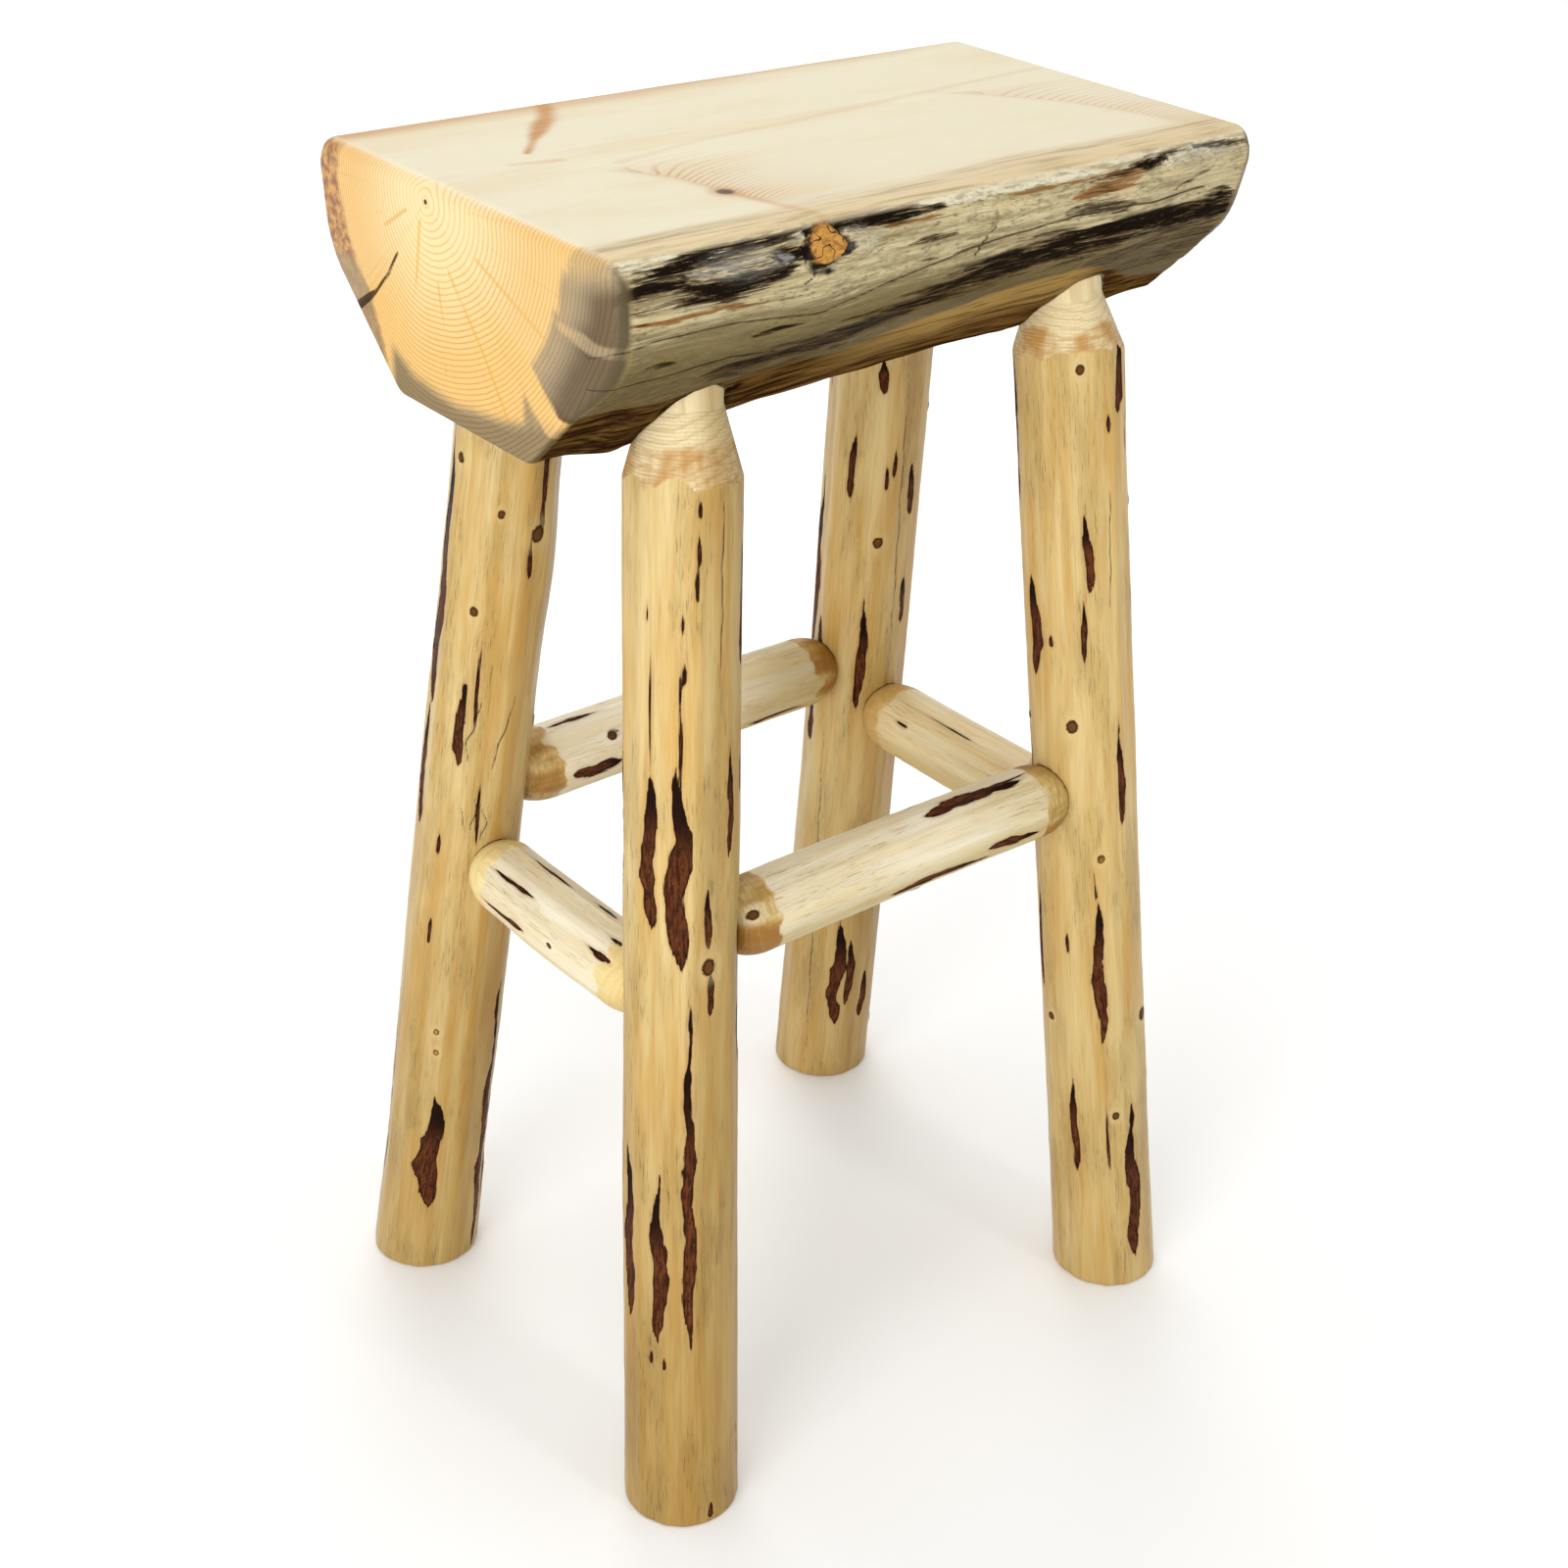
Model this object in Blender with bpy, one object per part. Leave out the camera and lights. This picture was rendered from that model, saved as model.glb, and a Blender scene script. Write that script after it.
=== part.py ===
"""A log bar stool: a half-log seat on four splayed pole legs, tied together by four rungs.

Every joint is a turned tenon glued into a bored mortise. Metres, +Z up. The origin is on the
floor, midway between the feet. +X runs along the seat towards its slimmer end and -Y is the front.
"""

import math
import random

import bmesh
import bpy
from mathutils import Matrix, Vector

# Seat: half a log with its sawn side up and its belly hewn flat. The butt is the thick end, at -X.
SEAT_HEIGHT = 0.762
SEAT_LENGTH = 0.441
SEAT_BUTT_HALF_WIDTH = 0.134
SEAT_TIP_HALF_WIDTH = 0.130
SEAT_BUTT_DEPTH = 0.122
SEAT_TIP_DEPTH = 0.108
SEAT_HIP_DEPTH = 0.055
SEAT_BUTT_HIP_INSET = 0.0055
SEAT_TIP_HIP_INSET = 0.0150
SEAT_BELLY_HALF_WIDTH = 0.060
SEAT_TOP_ROUND = 0.014
SEAT_HIP_ROUND = 0.050
SEAT_BELLY_ROUND = 0.010
SEAT_END_ROUND = 0.007
SEAT_WAVE = 0.0016

# Swellings of the live edge where branches grew: how far each lies from the butt end, and its side
SWELL_HEIGHT = 0.004
SWELL_REACH = 0.030
FRONT_SWELL_FROM_BUTT = 0.125
FRONT_TIP_SWELL_FROM_BUTT = 0.355
BACK_SWELL_FROM_BUTT = 0.093

# Legs: poles with the butt down. Their axes are set out on the seat's top and splay both ways.
LEG_END_INSET = 0.0928
LEG_SIDE_INSET = 0.0691
LEG_END_SPLAY_DEG = 3.87
LEG_SIDE_SPLAY_DEG = 6.30
LEG_FOOT_RADIUS = 0.0342
LEG_HEAD_RADIUS = 0.0312
LEG_BOW = 0.0014
LEG_SHOULDER_DROP = 0.012
LEG_TAPER_LENGTH = 0.030
LEG_TENON_RADIUS = 0.0205
LEG_TENON_LENGTH = 0.052
FOOT_CHAMFER = 0.0015

# How far out each hand-set foot stands from the drawn stance, along the seat and across it
FOOT_STRAY = {"front_left": (-0.0008, -0.0014), "front_right": (0.0024, 0.0012),
              "back_left": (-0.0006, -0.0026), "back_right": (-0.0027, 0.0028)}

# Rungs: the short ones run front to back, and the long ones lie one step above the higher of them
LEFT_RUNG_HEIGHT = 0.320
RIGHT_RUNG_LIFT = 0.012
RUNG_STEP = 0.031
RUNG_RADIUS = 0.0232
RUNG_BOW = 0.0010
RUNG_NOSE_LENGTH = 0.024
RUNG_TENON_RADIUS = 0.0125
RUNG_TENON_LENGTH = 0.034
RUNG_SINK = 0.004

# Fits and finish
GLUE_GAP = 0.0003
MORTISE_END_ROOM = 0.001
TENON_TIP_CHAMFER = 0.0015
LEG_KNIFE_CUT = 0.0022
RUNG_KNIFE_CUT = 0.0017
LEG_FLATS = 13
RUNG_FLATS = 10

# Facets of the solids
LEG_SIDES = 20
RUNG_SIDES = 16
ARC_STEPS = 4
LEG_STATION_STEP = 0.045
RUNG_STATION_STEP = 0.035
SEAT_STATION_STEP = 0.027
SHOULDER_STEPS = 4
SMOOTH_UP_TO_DEG = 35

END_SIGNS = {"left": -1, "right": 1}
SIDE_SIGNS = {"front": -1, "back": 1}
SEEDS = {"front_left": 11, "front_right": 23, "back_left": 37, "back_right": 41,
         "front": 53, "back": 61, "left": 79, "right": 83}

WOOD_TONES = {
    "seat": ((0.78, 0.58, 0.33, 1.0), 0.42),
    "leg": ((0.74, 0.53, 0.27, 1.0), 0.45),
    "rung": ((0.80, 0.62, 0.36, 1.0), 0.45),
}


# Small helpers

def lerp(first, last, share):
    return first + (last - first) * share


def spread(first, last, step):
    """Evenly spaced values from first to last, about a step apart."""
    count = max(1, math.ceil((last - first) / step))
    return [lerp(first, last, i / count) for i in range(count + 1)]


def wood(name, kind):
    """A plain varnished-wood material in the tone of that kind of piece."""
    colour, roughness = WOOD_TONES[kind]
    material = bpy.data.materials.new(name + "_pine")
    material.use_nodes = True
    shader = material.node_tree.nodes["Principled BSDF"]
    shader.inputs["Base Color"].default_value = colour
    shader.inputs["Roughness"].default_value = roughness
    shader.inputs["Metallic"].default_value = 0.0
    return material


def loft(rings):
    """A closed bmesh through rings of points, with a cap on the first and on the last."""
    mesh = bmesh.new()
    loops = [[mesh.verts.new(point) for point in ring] for ring in rings]
    for near, far in zip(loops, loops[1:]):
        for i in range(len(near)):
            mesh.faces.new((near[i - 1], near[i], far[i], far[i - 1]))
    mesh.faces.new(loops[0])
    mesh.faces.new(loops[-1])
    bmesh.ops.recalc_face_normals(mesh, faces=mesh.faces)
    return mesh


def place(name, mesh, stool, matrix, kind=None):
    """A bmesh as a named object under the stool. Without a kind of wood it is a cutter."""
    data = bpy.data.meshes.new(name)
    mesh.to_mesh(data)
    mesh.free()
    data.shade_smooth()
    data.set_sharp_from_angle(angle=math.radians(SMOOTH_UP_TO_DEG))
    thing = bpy.data.objects.new(name, data)
    bpy.context.scene.collection.objects.link(thing)
    thing.parent = stool
    thing.matrix_world = matrix
    if kind:
        data.materials.append(wood(name, kind))
    else:
        thing.hide_render = True
        thing.display_type = "WIRE"
    return thing


def bore(piece, cutter):
    """Cuts a mortise into a piece."""
    cut = piece.modifiers.new("mortise_" + cutter.name, "BOOLEAN")
    cut.operation = "DIFFERENCE"
    cut.solver = "EXACT"
    cut.object = cutter


def along_axis(start, direction):
    """The matrix that puts local +Z along a direction, with its origin at start."""
    turn = direction.to_track_quat("Z", "Y").to_matrix().to_4x4()
    return Matrix.Translation(start) @ turn


# Poles: round wood, flattened along its length by the drawknife

def knife_flats(seed, count):
    """The flats round a pole: the way each faces, how deep it is, and how that changes along it."""
    draw = random.Random(seed)
    flats = []
    for i in range(count):
        facing = 2 * math.pi * (i + draw.uniform(-0.3, 0.3)) / count
        flats.append((facing, draw.uniform(0.45, 1.0), draw.uniform(4, 14), draw.uniform(0, 6.3)))
    return flats


def pole_radius(radius, angle, along, flats, cut):
    """The distance from a pole's axis to its surface."""
    found = radius
    for facing, share, drift, phase in flats:
        lean = math.cos(angle - facing)
        if lean > 0.5:
            depth = cut * share * (0.6 + 0.4 * math.sin(drift * along + phase))
            found = min(found, (radius - depth) / lean)
    return found


def pole_ring(along, sides, radius_at, bow):
    """One ring of a pole's surface at a distance along its axis, which bow moves aside."""
    ring = []
    for i in range(sides):
        angle = 2 * math.pi * i / sides
        radius = radius_at(angle)
        ring.append((radius * math.cos(angle) + bow, radius * math.sin(angle), along))
    return ring


def turned(stations, sides):
    """Round rings from (distance along, radius) pairs."""
    return [pole_ring(along, sides, lambda _, r=radius: r, 0.0) for along, radius in stations]


# Seat

def seat_share(x):
    """0 at the butt end and 1 at the tip end."""
    return x / SEAT_LENGTH + 0.5


def seat_half_width(x):
    return lerp(SEAT_BUTT_HALF_WIDTH, SEAT_TIP_HALF_WIDTH, seat_share(x))


def seat_depth(x):
    return lerp(SEAT_BUTT_DEPTH, SEAT_TIP_DEPTH, seat_share(x))


def rounded(before, corner, after, radius):
    """Points along an arc of that radius between two straight edges that meet at a corner."""
    to_before = (before - corner).normalized()
    to_after = (after - corner).normalized()
    half = to_before.angle(to_after) / 2
    room = 0.45 * min((before - corner).length, (after - corner).length)
    reach = min(radius / math.tan(half), room)
    centre = corner + (to_before + to_after).normalized() * (reach / math.cos(half))
    start = corner + to_before * reach - centre
    end = corner + to_after * reach - centre
    spokes = [start.lerp(end, i / ARC_STEPS).normalized() for i in range(ARC_STEPS + 1)]
    return [centre + spoke * start.length for spoke in spokes]


def half_outline(x):
    """Half of the log's section, from the middle of the top down to the middle of the belly."""
    half_width, depth = seat_half_width(x), seat_depth(x)
    hip_inset = lerp(SEAT_BUTT_HIP_INSET, SEAT_TIP_HIP_INSET, seat_share(x))
    top = Vector((0, 0))
    rim = Vector((half_width, 0))
    hip = Vector((half_width - hip_inset, SEAT_HIP_DEPTH))
    belly_edge = Vector((SEAT_BELLY_HALF_WIDTH, depth))
    belly = Vector((0, depth))
    points = [top]
    points += rounded(top, rim, hip, SEAT_TOP_ROUND)
    points += rounded(rim, hip, belly_edge, SEAT_HIP_ROUND)
    points += rounded(hip, belly_edge, belly, SEAT_BELLY_ROUND)
    return points + [belly]


def live_edge(x, side, depth_share):
    """How far the log's side stands out: slow waves, and swellings near the branches."""
    if side < 0:
        swellings = (FRONT_SWELL_FROM_BUTT, FRONT_TIP_SWELL_FROM_BUTT)
    else:
        swellings = (BACK_SWELL_FROM_BUTT,)
    out = SEAT_WAVE * math.sin(31 * x + 2.1 * side) * math.cos(17 * x + side)
    for from_butt in swellings:
        away = (x + SEAT_LENGTH / 2 - from_butt) / SWELL_REACH
        out += SWELL_HEIGHT * math.exp(-away * away)
    return out * math.sin(math.pi * min(1.0, depth_share * 1.5)) ** 2


def seat_ring(x, inset):
    """The log's section at x, drawn in all round by inset where the ends are rounded over."""
    half_width, depth = seat_half_width(x), seat_depth(x)
    half = half_outline(x)
    shrink_wide = 1 - inset / half_width
    shrink_deep = 1 - 2 * inset / depth
    ring = []
    for side, points in ((1, half), (-1, half[-2:0:-1])):
        for across, down in points:
            if across > SEAT_BELLY_HALF_WIDTH:
                across += live_edge(x, side, down / depth)
            deep = depth / 2 + (down - depth / 2) * shrink_deep
            ring.append((x, side * across * shrink_wide, -deep))
    return ring


def make_seat(stool):
    half_length = SEAT_LENGTH / 2
    end_round = min(SEAT_END_ROUND, SEAT_TOP_ROUND, SEAT_BELLY_ROUND * 2)
    steps = [math.pi / 2 * i / ARC_STEPS for i in range(ARC_STEPS)]
    rings = [seat_ring(-half_length + end_round * (1 - math.cos(a)), end_round * (1 - math.sin(a)))
             for a in steps]
    inner = half_length - end_round
    rings += [seat_ring(x, 0.0) for x in spread(-inner, inner, SEAT_STATION_STEP)]
    rings += [seat_ring(half_length - end_round * (1 - math.cos(a)), end_round * (1 - math.sin(a)))
              for a in reversed(steps)]
    return place("seat_half_log", loft(rings), stool, Matrix.Translation((0, 0, SEAT_HEIGHT)), "seat")


# Legs

class Leg:
    """Where one leg stands, and its sizes along its axis from the floor."""

    def __init__(self, side, end):
        self.name = side + "_" + end
        end_sign, side_sign = END_SIGNS[end], SIDE_SIGNS[side]
        stray_x, stray_y = FOOT_STRAY[self.name]
        top_x = SEAT_LENGTH / 2 - LEG_END_INSET
        top_y = seat_half_width(0) - LEG_SIDE_INSET
        foot_x = top_x + SEAT_HEIGHT * math.tan(math.radians(LEG_END_SPLAY_DEG)) + stray_x
        foot_y = top_y + SEAT_HEIGHT * math.tan(math.radians(LEG_SIDE_SPLAY_DEG)) + stray_y
        self.foot = Vector((end_sign * foot_x, side_sign * foot_y, 0.0))
        top = Vector((end_sign * top_x, side_sign * top_y, SEAT_HEIGHT))
        self.axis = (top - self.foot).normalized()
        underside = SEAT_HEIGHT - seat_depth(top.x)
        self.shoulder = underside / self.axis.z - LEG_SHOULDER_DROP
        self.matrix = along_axis(self.foot, self.axis)
        self.flats = knife_flats(SEEDS[self.name], LEG_FLATS)

    def at_height(self, height):
        """The point of the leg's axis at a height above the floor."""
        return self.foot + self.axis * (height / self.axis.z)

    def radius(self, along):
        """The pole's radius before the drawknife, at a distance along its axis."""
        return lerp(LEG_FOOT_RADIUS, LEG_HEAD_RADIUS, along / self.shoulder)

    def turned_radius(self, along):
        """The radius that the tenon cutter leaves: a cone that runs up to the tenon."""
        slope = (LEG_HEAD_RADIUS - LEG_TENON_RADIUS) / LEG_TAPER_LENGTH
        return max(LEG_TENON_RADIUS, LEG_TENON_RADIUS + slope * (self.tenon_root - along))

    @property
    def tenon_root(self):
        return self.shoulder + LEG_TAPER_LENGTH

    @property
    def tip(self):
        return self.tenon_root + LEG_TENON_LENGTH

    def surface(self, angle, along):
        body = pole_radius(self.radius(along), angle, along, self.flats, LEG_KNIFE_CUT)
        return min(body, self.turned_radius(along))

    def ring(self, along):
        bow = LEG_BOW * max(0.0, math.sin(math.pi * along / self.shoulder))
        return pole_ring(along, LEG_SIDES, lambda angle: self.surface(angle, along), bow)


def saw_level(mesh, up):
    """Cuts a leg off along the floor and eases the edge of its foot."""
    everything = mesh.verts[:] + mesh.edges[:] + mesh.faces[:]
    cut = bmesh.ops.bisect_plane(mesh, geom=everything, plane_co=(0, 0, 0), plane_no=up, clear_inner=True)
    rim = [item for item in cut["geom_cut"] if isinstance(item, bmesh.types.BMEdge)]
    sole = bmesh.ops.contextual_create(mesh, geom=rim)["faces"][0]
    bmesh.ops.bevel(mesh, geom=sole.edges[:], offset=FOOT_CHAMFER, segments=1, affect="EDGES")
    bmesh.ops.recalc_face_normals(mesh, faces=mesh.faces)


def make_leg(leg, stool):
    lowest = -2 * LEG_FOOT_RADIUS * math.tan(math.acos(leg.axis.z))
    # The knife's scallops where the cone meets the flats lie within one cone step of the shoulder.
    step = LEG_TAPER_LENGTH / SHOULDER_STEPS
    stations = [lowest] + spread(-lowest, leg.shoulder - step, LEG_STATION_STEP)
    stations += [leg.shoulder + step * i for i in range(SHOULDER_STEPS + 1)]
    rings = [leg.ring(along) for along in stations]
    rings += turned([(leg.tip - TENON_TIP_CHAMFER, LEG_TENON_RADIUS),
                     (leg.tip, LEG_TENON_RADIUS - TENON_TIP_CHAMFER)], LEG_SIDES)
    mesh = loft(rings)
    saw_level(mesh, leg.matrix.to_3x3().transposed() @ Vector((0, 0, 1)))
    return place("leg_" + leg.name, mesh, stool, leg.matrix, "leg")


def leg_mortise(leg, stool):
    """The cutter for a leg's mortise in the seat: its cone and its tenon with room for glue."""
    below = leg.shoulder - LEG_TAPER_LENGTH
    stations = [(below, leg.turned_radius(below) + GLUE_GAP),
                (leg.tenon_root, LEG_TENON_RADIUS + GLUE_GAP),
                (leg.tip + MORTISE_END_ROOM, LEG_TENON_RADIUS + GLUE_GAP)]
    return place("cut_seat_" + leg.name, loft(turned(stations, LEG_SIDES)), stool, leg.matrix)


# Rungs

class Rung:
    """A rung between two legs at one height, measured from the middle of its length."""

    def __init__(self, name, first, last, height):
        self.name = name
        self.legs = (first, last)
        start, end = first.at_height(height), last.at_height(height)
        self.matrix = along_axis((start + end) / 2, (end - start).normalized())
        self.half_span = (end - start).length / 2
        leg_radius = first.radius(height / first.axis.z)
        self.tenon_root = self.half_span - leg_radius + RUNG_SINK
        self.shoulder = self.tenon_root - RUNG_NOSE_LENGTH
        self.tip = self.tenon_root + RUNG_TENON_LENGTH
        self.flats = knife_flats(SEEDS[name], RUNG_FLATS)

    def nose_radius(self, along):
        """The rounded nose that the tenon cutter leaves between the pole and its tenon."""
        share = (abs(along) - self.shoulder) / RUNG_NOSE_LENGTH
        share = min(1.0, max(0.0, share))
        return lerp(RUNG_TENON_RADIUS, RUNG_RADIUS, math.sqrt(1 - share * share))

    def surface(self, angle, along):
        body = pole_radius(RUNG_RADIUS, angle, along, self.flats, RUNG_KNIFE_CUT)
        return min(body, self.nose_radius(along))

    def ring(self, along):
        bow = RUNG_BOW * max(0.0, math.cos(math.pi / 2 * along / self.shoulder))
        return pole_ring(along, RUNG_SIDES, lambda angle: self.surface(angle, along), bow)

    def nose_stations(self):
        """Stations along the nose, closer together towards the tenon, where it curves most."""
        return [self.shoulder + RUNG_NOSE_LENGTH * math.sin(math.pi / 2 * i / ARC_STEPS)
                for i in range(1, ARC_STEPS + 1)]


def make_rung(rung, stool):
    tip_rings = [(rung.tip - TENON_TIP_CHAMFER, RUNG_TENON_RADIUS),
                 (rung.tip, RUNG_TENON_RADIUS - TENON_TIP_CHAMFER)]
    nose = rung.nose_stations()
    rings = turned([(-along, radius) for along, radius in reversed(tip_rings)], RUNG_SIDES)
    rings += [rung.ring(-along) for along in reversed(nose)]
    rings += [rung.ring(along) for along in spread(-rung.shoulder, rung.shoulder, RUNG_STATION_STEP)]
    rings += [rung.ring(along) for along in nose]
    rings += turned(tip_rings, RUNG_SIDES)
    return place("rung_" + rung.name, loft(rings), stool, rung.matrix, "rung")


def rung_mortise(rung, end, stool):
    """The cutter for a rung's mortise in the leg at one end: its nose and tenon, with room for glue."""
    stations = [(rung.shoulder - RUNG_NOSE_LENGTH, RUNG_RADIUS + GLUE_GAP),
                (rung.shoulder, RUNG_RADIUS + GLUE_GAP)]
    stations += [(along, rung.nose_radius(along) + GLUE_GAP) for along in rung.nose_stations()]
    stations += [(rung.tip + MORTISE_END_ROOM, RUNG_TENON_RADIUS + GLUE_GAP)]
    rings = turned([(end * along, radius) for along, radius in stations], RUNG_SIDES)
    leg = rung.legs[0] if end < 0 else rung.legs[1]
    return place("cut_" + leg.name + "_" + rung.name, loft(rings), stool, rung.matrix)


# Assembly

def main():
    for thing in list(bpy.data.objects):
        bpy.data.objects.remove(thing)
    stool = bpy.data.objects.new("stool", None)
    bpy.context.scene.collection.objects.link(stool)

    legs = {side + "_" + end: Leg(side, end) for side in SIDE_SIGNS for end in END_SIGNS}
    seat = make_seat(stool)
    posts = {}
    for name, leg in legs.items():
        posts[name] = make_leg(leg, stool)
        bore(seat, leg_mortise(leg, stool))

    short_heights = {"left": LEFT_RUNG_HEIGHT, "right": LEFT_RUNG_HEIGHT + RIGHT_RUNG_LIFT}
    long_height = max(short_heights.values()) + RUNG_STEP
    rungs = [Rung(end, legs["front_" + end], legs["back_" + end], height)
             for end, height in short_heights.items()]
    rungs += [Rung(side, legs[side + "_left"], legs[side + "_right"], long_height)
              for side in SIDE_SIGNS]
    for rung in rungs:
        make_rung(rung, stool)
        for end, leg in zip((-1, 1), rung.legs):
            bore(posts[leg.name], rung_mortise(rung, end, stool))


main()
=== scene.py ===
"""Looks of the log bar stool: peeled and drawknifed poles, a half-log seat and their pine surfaces.

Metres, +Z up, in the part's own frame. Marks on the wood are placed in millimetres and degrees.
"""

import math
import random

import bpy
import numpy as np
from mathutils import Matrix, Vector


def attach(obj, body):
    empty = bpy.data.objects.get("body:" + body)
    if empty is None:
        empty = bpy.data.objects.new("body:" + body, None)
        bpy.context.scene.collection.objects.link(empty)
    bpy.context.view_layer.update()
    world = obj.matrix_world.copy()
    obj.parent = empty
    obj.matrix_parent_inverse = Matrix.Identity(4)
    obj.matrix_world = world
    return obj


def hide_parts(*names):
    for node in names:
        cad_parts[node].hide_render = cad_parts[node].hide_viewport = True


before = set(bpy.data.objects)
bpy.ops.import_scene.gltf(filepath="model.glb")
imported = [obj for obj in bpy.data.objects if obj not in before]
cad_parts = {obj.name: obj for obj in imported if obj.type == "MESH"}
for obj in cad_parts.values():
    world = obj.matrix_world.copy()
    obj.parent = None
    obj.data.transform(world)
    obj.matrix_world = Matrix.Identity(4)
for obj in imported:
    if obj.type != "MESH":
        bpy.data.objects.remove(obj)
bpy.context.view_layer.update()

MM = 1000.0
TURN = 2 * math.pi

# Sizes of the stool, as in the part
SEAT_HEIGHT = 0.762
SEAT_LENGTH = 0.441
SEAT_BUTT_HALF_WIDTH = 0.134
SEAT_TIP_HALF_WIDTH = 0.130
SEAT_BUTT_DEPTH = 0.122
SEAT_TIP_DEPTH = 0.108
SEAT_HIP_DEPTH = 0.055
SEAT_BUTT_HIP_INSET = 0.0055
SEAT_TIP_HIP_INSET = 0.0150
SEAT_BELLY_HALF_WIDTH = 0.060
SEAT_TOP_ROUND = 0.014
SEAT_HIP_ROUND = 0.050
SEAT_BELLY_ROUND = 0.010
SEAT_END_ROUND = 0.007
SEAT_WAVE = 0.0016
SWELL_HEIGHT = 0.004
SWELL_REACH = 0.030
SWELLS_FROM_BUTT = {-1: (0.125, 0.355), 1: (0.093,)}
LEG_END_INSET = 0.0928
LEG_SIDE_INSET = 0.0691
LEG_END_SPLAY_DEG = 3.87
LEG_SIDE_SPLAY_DEG = 6.30
LEG_FOOT_RADIUS = 0.0342
LEG_HEAD_RADIUS = 0.0312
LEG_BOW = 0.0014
LEG_SHOULDER_DROP = 0.012
LEG_TAPER_LENGTH = 0.030
LEG_TENON_RADIUS = 0.0205
LEG_TENON_LENGTH = 0.052
CONE_DROP = {"front_left": 0.008}
FOOT_CHAMFER = 0.0015
FOOT_STRAY = {"front_left": (-0.0008, -0.0014), "front_right": (0.0024, 0.0012),
              "back_left": (-0.0006, -0.0026), "back_right": (-0.0027, 0.0028)}
LEFT_RUNG_HEIGHT = 0.320
RIGHT_RUNG_LIFT = 0.012
RUNG_STEP = 0.031
RUNG_RADIUS = 0.0232
RUNG_BOW = 0.0010
RUNG_NOSE_LENGTH = 0.024
RUNG_TENON_RADIUS = 0.0125
RUNG_TENON_LENGTH = 0.034
RUNG_SINK = 0.004
LEG_KNIFE_CUT = 0.0022
RUNG_KNIFE_CUT = 0.0017
LEG_FLATS = 13
RUNG_FLATS = 10
SEEDS = {"front_left": 11, "front_right": 23, "back_left": 37, "back_right": 41,
         "front": 53, "back": 61, "left": 79, "right": 83, "seat": 97}
END_SIGNS = {"left": -1, "right": 1}
SIDE_SIGNS = {"front": -1, "back": 1}
JOINT_GAP = 0.0005
MORTISE_END_ROOM = 0.001

# Mesh density: columns round a piece, and steps along it
LEG_COLUMNS = 208
LEG_STEP = 0.0019
CONE_STEP = 0.00045
RUNG_COLUMNS = 180
RUNG_STEP_ALONG = 0.0012
NOSE_STEPS = 56
POLE_CAP_RINGS = 8
SEAT_STEP = 0.0021
SEAT_END_STEPS = 8
SEAT_CAP_RINGS = 30
CUTTER_COLUMNS = 72
# Points along each stretch of half the seat's section: top, edge, side, hip, facet, belly edge, belly
FRONT_COUNTS = (56, 14, 32, 30, 30, 7, 9)
BACK_COUNTS = (56, 9, 22, 20, 22, 6, 9)

# Distances that stand for no mark near: bark in mm, knots in radii, checks of poles and of the seat in mm
FAR_BARK = 8.0
FAR_KNOT = 6.0
FAR_POLE_CHECK = 6.0
FAR_SEAT_MARK = 9.0

# Relief of the poles: lumps, ripples, sunk bark, knots with a groove round them, and checks
POLE_LUMP = 0.00045
POLE_RIPPLE = 0.00009
BARK_SINK = 0.00060
KNOT_RISE = 0.00050
KNOT_GROOVE = 0.00035
CHECK_SINK = 0.00055
# Turned ends: how far the tool strays, its ridges and their pitch in mm, and how far its wear strays
TOOL_STRAY = 0.00013
TOOL_RIDGE = 0.00010
TOOL_PITCH = 1.8
WEAR_STRAY = 0.004
# How far the pith strays from a pole's axis, and the width of a pole's growth rings in mm
PITH_STRAY = 0.0022
POLE_RING_WIDTH = 1.7
# The drawknife's share of its cut at the foot of a leg, and how far up that is less than full
FOOT_CUT_SHARE = 0.3
FOOT_CUT_LENGTH = 0.09
# How far up the level saw cut of a foot tilts the rings of its mesh
FOOT_TILT_LENGTH = 0.05
# Finer rows start this far before a leg's cone and before a rung's nose
CONE_LEAD = 0.006
NOSE_LEAD = 0.004
# Shares of a cone where fresh wood starts and is full
CONE_FRESH = (0.45, 0.6)
# How far the tool clears a rung's peeled length, and how much wider than its cut a nose looks turned
TOOL_CLEARANCE = 0.0015
NOSE_MARGIN = 0.0012

# Seeded marks on the unseen sides, in mm: length of pole for each mark, and the range of their sizes
PATCH_SPACING = 17
PATCH_LENGTHS = (8, 150)
PATCH_WIDTHS = (1.8, 12)
DASH_SPACING = 26
DASH_LENGTHS = (4, 20)
DASH_WIDTHS = (0.5, 1.3)
KNOT_SPACING = 75
KNOT_SIZES = (3.6, 8)
KNOT_END_ROOM = 12
UNSEEN_CHECKS = 3
# The angles from the middle of the seen side that those marks keep to, in degrees
UNSEEN_DEG = (75, 285)
UNSEEN_CHECKS_DEG = (100, 260)

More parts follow.
